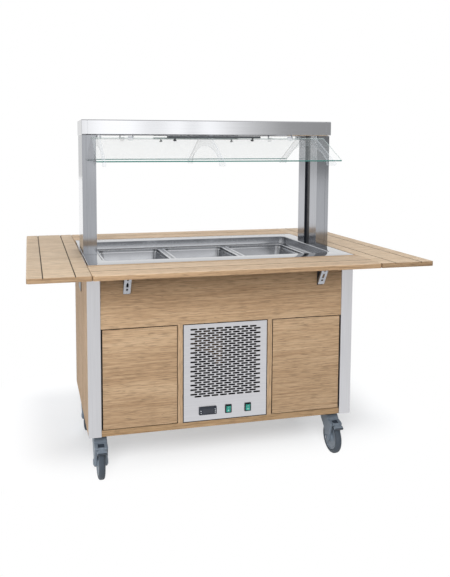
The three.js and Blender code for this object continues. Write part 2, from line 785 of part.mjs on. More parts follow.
// A food pan about the middle of its rim, at the height of the rim's top.
const makePan = () => {
  const halfX = panLength / 2;
  const halfY = panDepth / 2;
  const wallX = halfX - panRim;
  const wallY = halfY - panRim;
  const w = panWall;
  const low = -panHeight;
  return loft([
    ringAt(low, wallX - panTaper - 14, wallY - panTaper - 14, panRound - 10),
    ringAt(low + 14, wallX - panTaper, wallY - panTaper, panRound - 4),
    ringAt(-panRimThick, wallX, wallY, panRound - 4),
    ringAt(-panRimThick, halfX, halfY, panRound),
    ringAt(-0.8, halfX, halfY, panRound),
    ringAt(0, halfX - 1, halfY - 1, panRound - 1),
    ringAt(0, wallX - w + 2, wallY - w + 2, panRound - 5),
    ringAt(-3, wallX - w, wallY - w, panRound - 6),
    ringAt(low + 14, wallX - panTaper - w, wallY - panTaper - w, panRound - 6),
    ringAt(low + w, wallX - panTaper - 14, wallY - panTaper - 14, panRound - 10),
  ]);
};

// A bar between two pans: a flat top in the gap, lips under the pans' rims, ends on the ledge.
const makePanBar = () => {
  const half = (panPitch - panLength) / 2 - barClearance;
  const web = box(-half, half, -wellY + sheetThick + fit, wellY - sheetThick - fit, ledgeZ + fit, rimZ);
  const lipHalf = half + barLip - 1.5;
  const lipY = ledgeY - fit;
  const lips = box(-lipHalf, lipHalf, -lipY, lipY, ledgeZ - barThick, ledgeZ);
  const core = box(-half, half, -lipY, lipY, ledgeZ - barThick, rimZ);
  return join(web, lips, core);
};

// ---- shelves, leaves and their stays ----
const shelfPivot = { y: -shelfHingeY - stayPivotOut, z: shelfHingeZ - stayPivotDrop };
const earOutside = stayWidth / 2 + plateMetal + 0.6;

const makeShelf = () => {
  const y0 = -shelfOuter;
  const y1 = -shelfInner;
  const z0 = plateBottom;
  const z1 = plateBottom + shelfThick;
  const g = -shelfInner - shelfGroove;
  const half = grooveWidth / 2;
  const section = polygon([
    [y0, z0], [y1, z0], [y1, z1 - 1], [y1 - 1, z1], [g + half, z1], [g, z1 - grooveDepth], [g - half, z1],
    [y0 + 2, z1], [y0, z1 - 2],
  ]);
  const plank = alongX(section, -halfLength, halfLength);
  const corners = rounded(-halfLength, halfLength, y0, y1 + 2 * cornerRound, cornerRound);
  const board = trim(plank, alongZ(corners, z0 - 1, z1 + 1));
  const pieces = [board];
  for (const side of [-1, 1]) {
    const x = side * consoleX;
    for (const edge of [-1, 1]) {
      const ear = withHoles(polygon([
        ...arc(-shelfHingeY, shelfHingeZ, knuckleRadius, -0.125, 0.25, 2),
        [-shelfHingeY - shelfHingeOut - 0.5, plateBottom + 1], [shelfPivot.y - earReach, plateBottom + 1],
        ...arc(shelfPivot.y, shelfPivot.z, 6, 0.575, 0.8, 1),
      ].reverse()), roundHole(-shelfHingeY, shelfHingeZ, hingePin + pinPlay));
      const inner = x + edge * (earOutside - plateMetal);
      const outer = x + edge * earOutside;
      pieces.push(alongX(ear, Math.min(inner, outer), Math.max(inner, outer)));
    }
    pieces.push(rodX(x - earOutside, x + earOutside, shelfPivot.y, shelfPivot.z, hingePin + 0.4));
  }
  return join(...pieces);
};

// A stay about its own pivot, hanging straight down: a channel with a slot and a hole in its face.
const makeStay = () => {
  const half = stayWidth / 2;
  const bore = hingePin + 0.4 + pinPlay;
  const slotHalf = staySlotWidth / 2;
  const face = withHoles(
    rounded(-half, half, -stayLength - 5, 7, 3),
    roundHole(0, -stayHoleDrop, stayHoleRadius),
    roundedHole(-slotHalf, slotHalf, -staySlotDrop - staySlotLength, -staySlotDrop, slotHalf - 0.1),
  );
  const plate = alongY(face, -6, -6 + plateMetal);
  const pieces = [plate];
  for (const edge of [-1, 1]) {
    const flange = capsule(0, 0, 0, -stayLength, 5);
    flange.holes.push(roundHole(0, 0, bore));
    const inner = edge * (half - plateMetal);
    const outer = edge * half;
    const web = box(Math.min(inner, outer), Math.max(inner, outer), -5, -3.4, -stayLength, 0);
    pieces.push(alongX(flange, Math.min(inner, outer), Math.max(inner, outer)), web);
  }
  return join(...pieces);
};

const leafStayPivot = { x: leafHingeX + leafStayPivotOut, z: leafHingeZ + leafStayPivotRise };

const makeLeaf = () => {
  const x0 = leafInner;
  const x1 = leafOuter;
  const z0 = plateBottom;
  const z1 = plateBottom + shelfThick;
  const half = grooveWidth / 2;
  const notch = (x) => [[x + half, z1], [x, z1 - grooveDepth], [x - half, z1]];
  const section = polygon([
    [x0, z0], [x1, z0], [x1, z1 - 2], [x1 - 2, z1], ...notch(x1 - leafPlank), ...notch(x0 + leafPlank),
    [x0 + 1, z1], [x0, z1 - 1],
  ]);
  const plank = alongY(section, -shelfOuter, shelfOuter);
  const corners = rounded(x0 - 2 * cornerRound, x1, -shelfOuter, shelfOuter, cornerRound);
  const pieces = [trim(plank, alongZ(corners, z0 - 1, z1 + 1))];
  for (const side of [-1, 1]) {
    const y0 = (side * leafHingeY) / 2 + fit;
    const y1 = y0 + leafKnuckleLength;
    const strap = capsule(leafHingeX, leafHingeZ, leafHingeX + 1, plateBottom + 2, leafKnuckle - 1);
    const bore = roundHole(leafHingeX, leafHingeZ, leafPin + pinPlay);
    const barrel = withHoles(disc(leafHingeX, leafHingeZ, leafKnuckle), bore);
    strap.holes.push(bore);
    pieces.push(trim(alongY(strap, y0, y1), box(x0, x1, y0 - 1, y1 + 1, leafHingeZ - 20, z0 + 2)));
    pieces.push(alongY(barrel, y0, y1));
    const lugY = side * (leafStayWidth / 2 + 3);
    const lug = capsule(leafStayPivot.x, leafStayPivot.z, leafStayPivot.x, plateBottom + 2, 6);
    pieces.push(trim(alongY(lug, lugY - 2, lugY + 2), box(x0, x1, lugY - 3, lugY + 3, 0, z0 + 2)));
    const pinIn = side * (leafStayWidth / 2 - leafStayBar - 1);
    const pinOut = side * (leafStayWidth / 2 + 5);
    pieces.push(rodY(Math.min(pinIn, pinOut), Math.max(pinIn, pinOut), leafStayPivot.x, leafStayPivot.z, 2));
  }
  return join(...pieces);
};

// A bow-shaped stay about its own pivot, hanging straight down from the leaf's two lugs.
const makeLeafStay = () => {
  const half = leafStayWidth / 2;
  const inner = half - leafStayBar;
  const pieces = [];
  for (const side of [-1, 1]) {
    const arm = withHoles(capsule(0, 0, 0, -leafStayLength, leafStayThick), roundHole(0, 0, 2 + pinPlay));
    const y0 = Math.min(side * inner, side * half);
    const y1 = Math.max(side * inner, side * half);
    pieces.push(alongY(arm, y0, y1));
  }
  pieces.push(rodY(-inner - 1, inner + 1, 0, -leafStayLength, leafStayThick));
  return join(...pieces);
};

// ---- gantry ----
const makePillar = () => {
  const y = pillarDepth / 2;
  const gap = y - pillarPost;
  const recess = pillarInner + infillRecess;
  const seam = pillarOuter - pillarCover;
  const s = seamWidth / 2;
  const outline = polygon([
    [pillarInner, -y], [seam - s, -y], [seam - s, -y + seamDepth], [seam + s, -y + seamDepth], [seam + s, -y],
    [pillarOuter, -y], [pillarOuter, y],
    [seam + s, y], [seam + s, y - seamDepth], [seam - s, y - seamDepth], [seam - s, y], [pillarInner, y],
    [pillarInner, gap], [recess, gap], [recess, -gap], [pillarInner, -gap],
  ]);
  for (const [y0, y1] of [[-y, -gap], [gap, y]]) {
    const inset = pillarSheet;
    outline.holes.push(new THREE.Path(vectors([
      [pillarInner + inset, y0 + inset], [pillarOuter - inset, y0 + inset],
      [pillarOuter - inset, y1 - inset], [pillarInner + inset, y1 - inset],
    ])));
  }
  return alongZ(outline, worktopHeight + fit, canopyBottom - fit);
};

const makeCanopy = () => {
  const halfX = canopyLength / 2;
  const halfY = canopyDepth / 2;
  const middle = canopyBottom + canopyHeight / 2;
  const ring = (x, inset) => {
    const flat = ringAt(0, halfY - inset, canopyHeight / 2 - inset, canopyRound, 1);
    return flat.map((p) => new THREE.Vector3(x, p.x, middle + p.y));
  };
  const seam = halfX - canopyCap;
  const stations = [[-halfX, 1], [-halfX + 1, 0]];
  for (const side of [-1, 1]) {
    const at = side * seam;
    const s = seamWidth / 2;
    stations.push([at - s, 0], [at - s, seamDepth], [at + s, seamDepth], [at + s, 0]);
  }
  stations.push([halfX - 1, 0], [halfX, 1]);
  const shell = loft(stations.map(([x, inset]) => ring(x, inset)));
  const hollow = box(-halfX + canopySheet, halfX - canopySheet, -halfY + canopySheet, halfY - canopySheet,
    canopyBottom + canopySheet, canopyBottom + canopyHeight - canopySheet);
  const lampWindow = box(-lampLength / 2, lampLength / 2, -lampWidth / 2, lampWidth / 2,
    canopyBottom - 1, canopyBottom + canopySheet + 1);
  const tube = rodX(-lampLength / 2 - 1, lampLength / 2 + 1, 0, canopyBottom + lampRise, lampRadius);
  const sockets = [-1, 1].map((side) => {
    const near = (side * lampLength) / 2;
    const far = near + side * lampSocket;
    return box(Math.min(near, far), Math.max(near, far), -lampSocket, lampSocket,
      canopyBottom + 1, canopyBottom + lampRise + lampSocket);
  });
  const lugs = [-1, 1].flatMap((side) => {
    const x0 = side * glassHingeX + glassKnuckleLength / 2 + fit;
    const lug = capsule(-glassHingeOut, glassHingeZ, 4 - halfY, canopyBottom + 4, glassKnuckle - 1);
    const pin = rodX(x0 - glassKnuckleLength - fit, x0 + lugThick, -glassHingeOut, glassHingeZ, glassPin);
    return [alongX(lug, x0, x0 + lugThick), pin];
  });
  const rearLugs = lugs.map((lug) => lug.clone().rotateZ(Math.PI));
  return join(cut(shell, hollow, lampWindow), tube, ...sockets, ...lugs, ...rearLugs);
};

// Directions along and across the sloping pane, in the plane of Y outwards and Z.
const paneRun = Math.hypot(paneLowOut - paneTopOut, paneLowDrop - paneTopDrop);
const slopeOut = (paneLowOut - paneTopOut) / paneRun;
const slopeDown = (paneLowDrop - paneTopDrop) / paneRun;
// A point that lies "along" the pane from its top edge and "above" its middle plane.
const onPane = (along, above) => [
  -(paneTopOut + along * slopeOut + above * slopeDown),
  paneTopZ - along * slopeDown + above * slopeOut,
];

const makePane = () => {
  const t = paneThick / 2;
  const section = polygon([onPane(0, -t), onPane(paneRun, -t), onPane(paneRun, t), onPane(0, t)].reverse());
  const pane = alongX(section, -paneLength / 2, paneLength / 2);
  const notches = [];
  const knuckles = [];
  for (const side of [-1, 1]) {
    const x0 = side * glassHingeX - glassKnuckleLength / 2;
    const x1 = x0 + glassKnuckleLength;
    notches.push(rodX(x0 - 1, x1 + lugThick + 2, -glassHingeOut, glassHingeZ, glassKnuckle + 1.5));
    const bore = roundHole(-glassHingeOut, glassHingeZ, glassPin + pinPlay);
    knuckles.push(alongX(withHoles(disc(-glassHingeOut, glassHingeZ, glassKnuckle), bore), x0, x1));
    const tongue = polygon([
      onPane(-1, -t - 1), onPane(glassTongue, -t - 1), onPane(glassTongue, t + 1), onPane(-1, t + 1),
    ].reverse());
    knuckles.push(alongX(tongue, x0, x1));
  }
  const bores = [-1, 1].map((side) =>
    rodX(side * glassHingeX - glassKnuckleLength, side * glassHingeX + glassKnuckleLength,
      -glassHingeOut, glassHingeZ, glassPin + pinPlay));
  return cut(join(cut(pane, ...notches), ...knuckles), ...bores);
};

const makeHandle = () => {
  const y = -handleOut;
  const z = canopyBottom - handleDrop;
  const bar = rodX(-handleLength / 2, handleLength / 2, y, z, handleRadius, 10);
  const outward = handleOut - paneTopOut;
  const down = paneTopDrop - handleDrop;
  const above = outward * slopeDown + down * slopeOut - paneThick / 2 - fit;
  const legs = [-1, 1].map((side) => {
    const leg = new THREE.CylinderGeometry(handleLegRadius, handleLegRadius, above, 8);
    leg.translate(0, -above / 2, 0).rotateX(Math.atan2(slopeOut, -slopeDown));
    return leg.translate(side * handleLegX, y, z);
  });
  return join(bar, ...legs);
};

// A clear plate that hangs from the canopy and carries both panes on its two arms.
const makeSupport = () => {
  const under = -paneThick / 2 - fit;
  const half = [
    [-supportTopOut, canopyBottom - fit],
    onPane(0.5, under),
    onPane(paneRun + 0.8, under),
    onPane(paneRun + 0.8, under + supportLip),
    onPane(paneRun + 6, under + supportLip),
    [-supportTipOut, canopyBottom - supportTipDrop + 6],
    [-supportTipOut + 2, canopyBottom - supportTipDrop],
  ];
  const arch = [];
  const archRise = supportTipDrop - archDrop;
  for (let k = 0; k <= archSteps; k += 1) {
    const angle = Math.PI * (1 - k / archSteps);
    const z = canopyBottom - supportTipDrop + archRise * Math.sin(angle);
    arch.push([archHalf * Math.cos(angle), z]);
  }
  const mirrored = half.map(([y, z]) => [-y, z]).reverse();
  const outline = polygon([...half, ...arch, ...mirrored].reverse());
  return alongX(outline, -supportThick / 2, supportThick / 2);
};

// ---- castors, each about its own swivel axis at floor level ----
const headBottom = castorHeight - castorPlateThick - headThick;
const pocketRadius = wheelRadius + pocketGap;
const hoodRadius = pocketRadius + hoodWall;
const pedalAngle = THREE.MathUtils.degToRad(119);
const pedalY = -castorTrail + hoodRadius * Math.cos(pedalAngle);
const pedalZ = wheelRadius + hoodRadius * Math.sin(pedalAngle);

const makeFork = () => {
  const axleY = -castorTrail;
  const legR = 20;
  const headTop = headBottom - fit;
  const side = polygon([
    [headRadius + 6, headTop], [-headRadius - 6, headTop],
    ...arc(axleY, wheelRadius, hoodRadius, 0.26, pedalAngle / (2 * Math.PI), 2),
    [axleY - legR * 1.5, wheelRadius * 1.4],
    ...arc(axleY, wheelRadius, legR, 0.5, 1, 4),
    [axleY + legR * 1.6, wheelRadius * 1.5], [headRadius, wheelRadius * 1.95],
    [headRadius + 6, headTop - 12],
  ]);
  const hood = alongX(side, -forkWidth / 2, forkWidth / 2);
  const earIn = pedalSlot / 2;
  const earOut = earIn + pedalEar;
  const ears = [-1, 1].map((edge) => {
    const ear = disc(pedalY, pedalZ, pedalBarrel + 2);
    return alongX(ear, Math.min(edge * earIn, edge * earOut), Math.max(edge * earIn, edge * earOut));
  });
  const pocket = rodX(-pocketWidth / 2, pocketWidth / 2, axleY, wheelRadius, pocketRadius, 16);
  const barrelSpace = rodX(-earIn, earIn, pedalY, pedalZ, pedalBarrel + 2.5);
  const pin = rodX(-earOut, earOut, pedalY, pedalZ, pedalPin);
  const axle = rodX(-forkWidth / 2 - 2, forkWidth / 2 + 2, axleY, wheelRadius, axleRadius);
  const caps = [-1, 1].map((edge) => {
    const inner = edge * (forkWidth / 2 - 1);
    const outer = edge * (forkWidth / 2 + 3);
    return rodX(Math.min(inner, outer), Math.max(inner, outer), axleY, wheelRadius, axleCap, 10);
  });
  return join(cut(join(hood, ...ears), pocket, barrelSpace), pin, axle, ...caps);
};

const makeWheel = () => {
  const r = wheelRadius;
  const w = wheelWidth / 2;
  const hub = hubWidth / 2;
  const bore = axleRadius + axlePlay;
  const half = [[bore, hub], [hubRadius, hub], [hubRadius + 4, w - 6], [r - 16, w - 3], [r, w - 5]];
  const lower = half.map(([a, b]) => [a, -b]).reverse();
  const outline = [...lower, ...half].reverse();
  outline.unshift(outline[outline.length - 1]);
  const wheel = new THREE.LatheGeometry(vectors(outline), 16);
  return wheel.rotateZ(Math.PI / 2);
};

const makePedal = () => {
  const tip = [-pedalReach * 0.9, -pedalReach * 0.44];
  const half = pedalSlot / 2 - 0.9;
  const arm = alongX(capsule(0, 0, ...tip, pedalThick / 2), -half, half);
  const barrel = alongX(disc(0, 0, pedalBarrel, 8), -half, half);
  const root = [tip[0] * 0.62, tip[1] * 0.62];
  const pad = alongX(capsule(...root, ...tip, pedalThick / 2), -pedalWidth / 2, pedalWidth / 2);
  const bore = rodX(-pedalWidth, pedalWidth, 0, 0, pedalPin + pinPlay);
  return cut(join(arm, barrel, pad), bore);
};

const addCastor = (corner, x, y, turn) => {
  const castor = new THREE.Group();
  castor.position.set(x, y, 0);
  castor.rotation.z = THREE.MathUtils.degToRad(turn);
  salad.add(castor);
  place(`${corner}_castor_fork`, makeFork(), castorPlastic, castor);
  place(`${corner}_castor_wheel`, makeWheel(), tread, castor).position.set(0, -castorTrail, wheelRadius);
  place(`${corner}_castor_pedal`, makePedal(), castorPlastic, castor).position.set(0, pedalY, pedalZ);
};

// ---- assembly ----
place('base_frame', makeBaseFrame(), darkSteel);
place('floor_panel', makeFloor(), oak);
place('right_side_panel', makeSidePanel(), oak);
place('left_side_panel', makeSidePanel(), oak, leftSide);

const postX = halfLength - postWidth / 2;
place('front_left_post', makePost(), steel).position.set(-postX, -halfDepth, 0);
place('front_right_post', makePost(), steel).position.set(postX, -halfDepth, 0);
place('rear_left_post', makePost(), steel, rearSide).position.set(postX, -halfDepth, 0);
place('rear_right_post', makePost(), steel, rearSide).position.set(-postX, -halfDepth, 0);

place('front_fascia', makeFascia(fasciaBottom), oak);
place('rear_panel', makeFascia(floorTop + fit), oak, rearSide);
place('right_divider', makeDivider(), oak);
place('left_divider', makeDivider().translate(-dividerInner - dividerOuter, 0, 0), oak);
place('right_door', makeDoor(), oak);
place('left_door', geometryOf(solidOf(makeDoor()).mirror([1, 0, 0])), oak);

place('grille_panel', makeGrille(), steel);
place('thermostat', makeThermostat(), blackPlastic);
['cooling_switch', 'light_switch'].forEach((name, k) => {
  const rocker = place(name, makeRocker(), rockerGreen);
  rocker.position.set(switchPlaces[k], grilleFront, controlZ);
  rocker.rotation.x = THREE.MathUtils.degToRad(rockerTilt);
});
place('condenser', makeCondenser(), darkSteel);
place('fan', makeFan(), darkSteel).position.set(0, fanFront, fanZ);
place('compressor', makeCompressor(), blackPlastic).position.set(0, compressorY, floorTop + fit);

place('top_plate', makeTopPlate(), steel);
place('well_tub', makeWellTub(), steel);
['pan_left', 'pan_centre', 'pan_right'].forEach((name, k) => {
  place(name, makePan(), steel).position.set((k - 1) * panPitch, 0, rimZ);
});
['pan_bar_left', 'pan_bar_right'].forEach((name, k) => {
  place(name, makePanBar(), steel).position.set((k - 0.5) * panPitch, 0, 0);
});

const addShelf = (side, parent) => {
  place(`${side}_shelf`, makeShelf(), oak, parent);
  const sides = parent === rearSide ? ['right', 'left'] : ['left', 'right'];
  sides.forEach((hand, k) => {
    const stay = place(`${side}_${hand}_stay`, makeStay(), zinc, parent);
    stay.position.set((2 * k - 1) * consoleX, shelfPivot.y, shelfPivot.z);
    stay.rotation.x = THREE.MathUtils.degToRad(stayAngle);
  });
};
addShelf('front', salad);
addShelf('rear', rearSide);

const addLeaf = (side, parent) => {
  place(`${side}_leaf`, makeLeaf(), oak, parent);
  const stay = place(`${side}_leaf_stay`, makeLeafStay(), zinc, parent);
  stay.position.set(leafStayPivot.x, 0, leafStayPivot.z);
  stay.rotation.y = THREE.MathUtils.degToRad(leafStayAngle);
};
addLeaf('right', salad);
addLeaf('left', leftSide);

place('right_pillar', makePillar(), steel);
place('left_pillar', makePillar(), steel, leftSide);
place('canopy', makeCanopy(), steel);
place('front_glass', makePane(), glass);
place('rear_glass', makePane(), glass, rearSide);
place('front_glass_handle', makeHandle(), darkSteel);
place('rear_glass_handle', makeHandle(), darkSteel, rearSide);
['left', 'centre', 'right'].forEach((name, k) => {
  place(`glass_support_${name}`, makeSupport(), glass).position.x = (k - 1) * supportX;
});

addCastor('front_left', -castorX, -castorY, 0);
addCastor('front_right', castorX, -castorY, 0);
addCastor('rear_left', -castorX, castorY, -rearTurn);
addCastor('rear_right', castorX, castorY, -rearTurn);

export default salad;
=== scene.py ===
import json
import math

import bmesh
import bpy
from mathutils import Matrix, Vector
from mathutils.bvhtree import BVHTree

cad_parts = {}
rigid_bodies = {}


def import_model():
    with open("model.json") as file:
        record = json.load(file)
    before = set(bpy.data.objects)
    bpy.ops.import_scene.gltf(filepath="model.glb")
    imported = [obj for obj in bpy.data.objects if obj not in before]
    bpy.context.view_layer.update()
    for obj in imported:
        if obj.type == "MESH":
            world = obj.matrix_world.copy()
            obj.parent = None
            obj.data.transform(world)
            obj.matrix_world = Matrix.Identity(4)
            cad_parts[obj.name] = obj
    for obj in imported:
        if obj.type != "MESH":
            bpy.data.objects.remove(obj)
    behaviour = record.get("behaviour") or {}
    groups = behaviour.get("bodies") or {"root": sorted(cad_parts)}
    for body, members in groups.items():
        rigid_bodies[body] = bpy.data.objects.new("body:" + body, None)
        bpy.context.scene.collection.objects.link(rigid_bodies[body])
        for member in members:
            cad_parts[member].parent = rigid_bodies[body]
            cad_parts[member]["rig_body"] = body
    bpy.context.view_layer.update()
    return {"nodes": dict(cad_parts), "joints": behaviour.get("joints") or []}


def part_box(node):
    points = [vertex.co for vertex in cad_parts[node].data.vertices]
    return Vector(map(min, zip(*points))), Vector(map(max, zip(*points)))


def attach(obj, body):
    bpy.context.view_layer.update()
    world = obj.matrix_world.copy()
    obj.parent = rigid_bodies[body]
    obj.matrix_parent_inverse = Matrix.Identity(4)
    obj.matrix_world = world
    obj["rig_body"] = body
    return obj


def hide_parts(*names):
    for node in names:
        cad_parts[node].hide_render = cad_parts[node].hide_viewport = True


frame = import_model()
nodes = frame["nodes"]
joints = {joint["name"]: joint for joint in frame["joints"]}
mm = 0.001
print("frame loaded:", len(nodes), "nodes")


# ---- colours and nodes ----
def hexColor(text):
    values = [int(text[k:k + 2], 16) / 255 for k in (0, 2, 4)]
    linear = [v / 12.92 if v <= 0.04045 else ((v + 0.055) / 1.055) ** 2.4 for v in values]
    return (*linear, 1.0)


def addNode(tree, kind, settings=None, inputs=None):
    node = tree.nodes.new(kind)
    for name, value in (settings or {}).items():
        setattr(node, name, value)
    for key, value in (inputs or {}).items():
        if isinstance(value, bpy.types.NodeSocket):
            tree.links.new(value, node.inputs[key])
        elif isinstance(value, list) and isinstance(value[0], bpy.types.NodeSocket):
            for socket in value:
                tree.links.new(socket, node.inputs[key])
        else:
            node.inputs[key].default_value = value
    return node


def newMaterial(name, shaderInputs):
    material = bpy.data.materials.new(name)
    material.use_nodes = True
    tree = material.node_tree
    shader = tree.nodes["Principled BSDF"]
    for key, value in shaderInputs.items():
        shader.inputs[key].default_value = value
    return material, tree, shader


def stretchedCoords(tree, size, offset=(0, 0, 0)):
    # object coordinates divided by a feature size in millimetres, so one unit is one feature
    coords = addNode(tree, "ShaderNodeTexCoord")
    mapping = addNode(tree, "ShaderNodeMapping", {}, {
        "Vector": coords.outputs["Object"], "Location": offset, "Scale": tuple(1000 / s for s in size),
    })
    return mapping.outputs["Vector"]


def noiseOf(tree, vector, detail, roughness, distortion=0.0):
    noise = addNode(tree, "ShaderNodeTexNoise", {}, {
        "Vector": vector, "Scale": 1.0, "Detail": detail, "Roughness": roughness, "Distortion": distortion,
    })
    return noise.outputs["Fac"]


def evenNoise(tree, size, detail=2.0, roughness=0.5):
    return noiseOf(tree, stretchedCoords(tree, (size, size, size)), detail, roughness)


def greyOf(level):
    return (level, level, level, 1.0)


def rampOf(tree, factor, stops):
    ramp = addNode(tree, "ShaderNodeValToRGB", {}, {"Fac": factor})
    elements = ramp.color_ramp.elements
    elements[1].position = stops[-1][0]
    elements[0].position = stops[0][0]
    for place, _ in stops[1:-1]:
        elements.new(place)
    for element, (_, color) in zip(elements, stops):
        element.color = greyOf(color) if isinstance(color, (int, float)) else color
    return ramp.outputs["Color"]


def mathOf(tree, operation, *values):
    return addNode(tree, "ShaderNodeMath", {"operation": operation}, dict(enumerate(values))).outputs[0]


def vectorOf(tree, operation, *values):
    return addNode(tree, "ShaderNodeVectorMath", {"operation": operation}, dict(enumerate(values)))


def rangeOf(tree, value, low, high):
    # 0 below low, 1 above high, and a smooth step between them
    step = addNode(tree, "ShaderNodeMapRange", {"interpolation_type": "SMOOTHSTEP"}, {
        "Value": value, "From Min": low, "From Max": high,
    })
    return step.outputs[0]


def mixOf(tree, factor, first, second, blend="MIX"):
    mix = addNode(tree, "ShaderNodeMix", {"data_type": "RGBA", "blend_type": blend},
                  {0: factor, 6: first, 7: second})
    return mix.outputs[2]


def bumpOf(tree, height, depth):
    bump = addNode(tree, "ShaderNodeBump", {}, {"Height": height, "Distance": depth * mm})
    return bump.outputs["Normal"]


def plug(tree, shader, sockets):
    for key, socket in sockets.items():
        tree.links.new(socket, shader.inputs[key])


# ---- camera, floor and light ----
studio = {
    "imageWidth": 450,  # pixels
    "imageHeight": 577,
    "principalX": 180.8,  # the pixel that the lens axis meets
    "principalY": 205.0,
    "focalPixels": 649.8,
    "cameraPlace": (-0.825, -3.016, 1.423),
    "yaw": -13.18,
    "pitch": -4.91,
    "sensor": 36.0,
    "floorSize": 60.0,
    "floorColor": "eef1f5",
    "bounceColor": "97938c",  # what the floor throws back at the object
    "nearShare": 0.32,  # how much of the seen floor glows white beside the object; the smaller glow there paints the floor grey round the cabinet (painted shade)
    "nearWhite": 1.3,
    "floorMirror": 1.2,  # how bright the floor is in a reflection
    "footprint": (0.765, 0.29, 0.0),
    "footprintPlace": (0.065, 0.34, 0.0),
    "fadeTo": 0.45,  # metres from the cabinet's edge: by here the floor has merged with the background
    "wallBehind": 0.82,  # how bright the studio's back wall and its ceiling are in a reflection
    "ceiling": (0.66, 0.66, 0.67, 1.0),
    "ambient": 0.24,
    "keyPower": 235.0,
    "keyPlace": (-1.6, -4.8, 3.05),
    "keySize": 2.3,
    "keyTarget": (0, 0, 0.7),
    "topPower": 76.0,
    "topPlace": (0.3, 0.2, 5.0),
    "topSize": 4.0,
    "topTarget": (0, 0, 0.9),
    "backPower": 75.0,
    "backPlace": (1.4, 4.8, 3.4),
    "backSize": 3.0,
    "backTarget": (0, 0, 0.7),
    "fillPower": 64.0,
    "fillPlace": (-4.6, -1.2, 1.0),
    "fillSize": 2.2,
    "fillTarget": (-0.6, 0, 0.5),
}


def aim(obj, place, target):
    obj.location = place
    obj.rotation_euler = (Vector(target) - Vector(place)).to_track_quat("-Z", "Y").to_euler()


def makeCamera(s):
    longSide = max(s["imageWidth"], s["imageHeight"])
    data = bpy.data.cameras.new("camera")
    data.sensor_width = s["sensor"]
    data.lens = s["focalPixels"] / longSide * s["sensor"]
    data.shift_x = (s["imageWidth"] / 2 - s["principalX"]) / longSide
    data.shift_y = -(s["imageHeight"] / 2 - s["principalY"]) / longSide
    camera = bpy.data.objects.new("camera", data)
    camera.location = s["cameraPlace"]
    camera.rotation_euler = (math.radians(90 + s["pitch"]), 0, math.radians(s["yaw"]))
    bpy.context.scene.collection.objects.link(camera)
    bpy.context.scene.camera = camera


def makeAreaLight(name, power, size, place, target):
    data = bpy.data.lights.new(name, "AREA")
    data.energy = power
    data.size = size
    light = bpy.data.objects.new(name, data)
    light.visible_glossy = False  # polished steel mirrors the studio's walls instead
    aim(light, place, target)
    bpy.context.scene.collection.objects.link(light)


def seenRay(tree):
    # 1 for rays that show the surroundings: seen directly, in a reflection or through glass
    path = addNode(tree, "ShaderNodeLightPath")
    first = mathOf(tree, "MAXIMUM", path.outputs["Is Camera Ray"], path.outputs["Is Glossy Ray"])
    return mathOf(tree, "MAXIMUM", first, path.outputs["Is Transmission Ray"]), path.outputs["Is Glossy Ray"]


def studioWalls(tree, direction):
    # what polished steel shows of the studio: bright screens in front that end in a soft grey side to
    # the right, an even white wall behind, and a grey ceiling
    parts = addNode(tree, "ShaderNodeSeparateXYZ", {}, {0: direction})
    sideways = mathOf(tree, "MULTIPLY_ADD", parts.outputs["X"], 0.5, 0.5)
    front = rampOf(tree, sideways, [
        (0.0, 0.6), (0.3, 0.8), (0.5, 0.95), (0.535, 1.15), (0.555, 1.6), (0.58, 1.6), (0.588, 1.25),
        (0.602, 1.25), (0.607, 1.6), (0.615, 1.6), (0.62, 1.15), (0.626, 1.2), (0.631, 1.6), (0.638, 1.5),
        (0.655, 1.05), (0.668, 0.8), (0.69, 0.47), (0.72, 0.42), (0.8, 0.38), (1.0, 0.6),
    ])
    behind = rangeOf(tree, parts.outputs["Y"], -0.1, 0.25)
    above = rangeOf(tree, parts.outputs["Z"], 0.3, 0.65)
    walls = mixOf(tree, behind, front, greyOf(studio["wallBehind"]))
    return mixOf(tree, above, walls, studio["ceiling"])


def makeWorld(s):
    world = bpy.data.worlds.new("studio")
    world.use_nodes = True
    bpy.context.scene.world = world
    tree = world.node_tree
    background = tree.nodes["Background"]
    seen, glossy = seenRay(tree)
    walls = studioWalls(tree, addNode(tree, "ShaderNodeTexCoord").outputs["Generated"])
    shown = mixOf(tree, glossy, greyOf(1.0), walls)
    tree.links.new(mixOf(tree, seen, greyOf(s["ambient"]), shown), background.inputs["Color"])


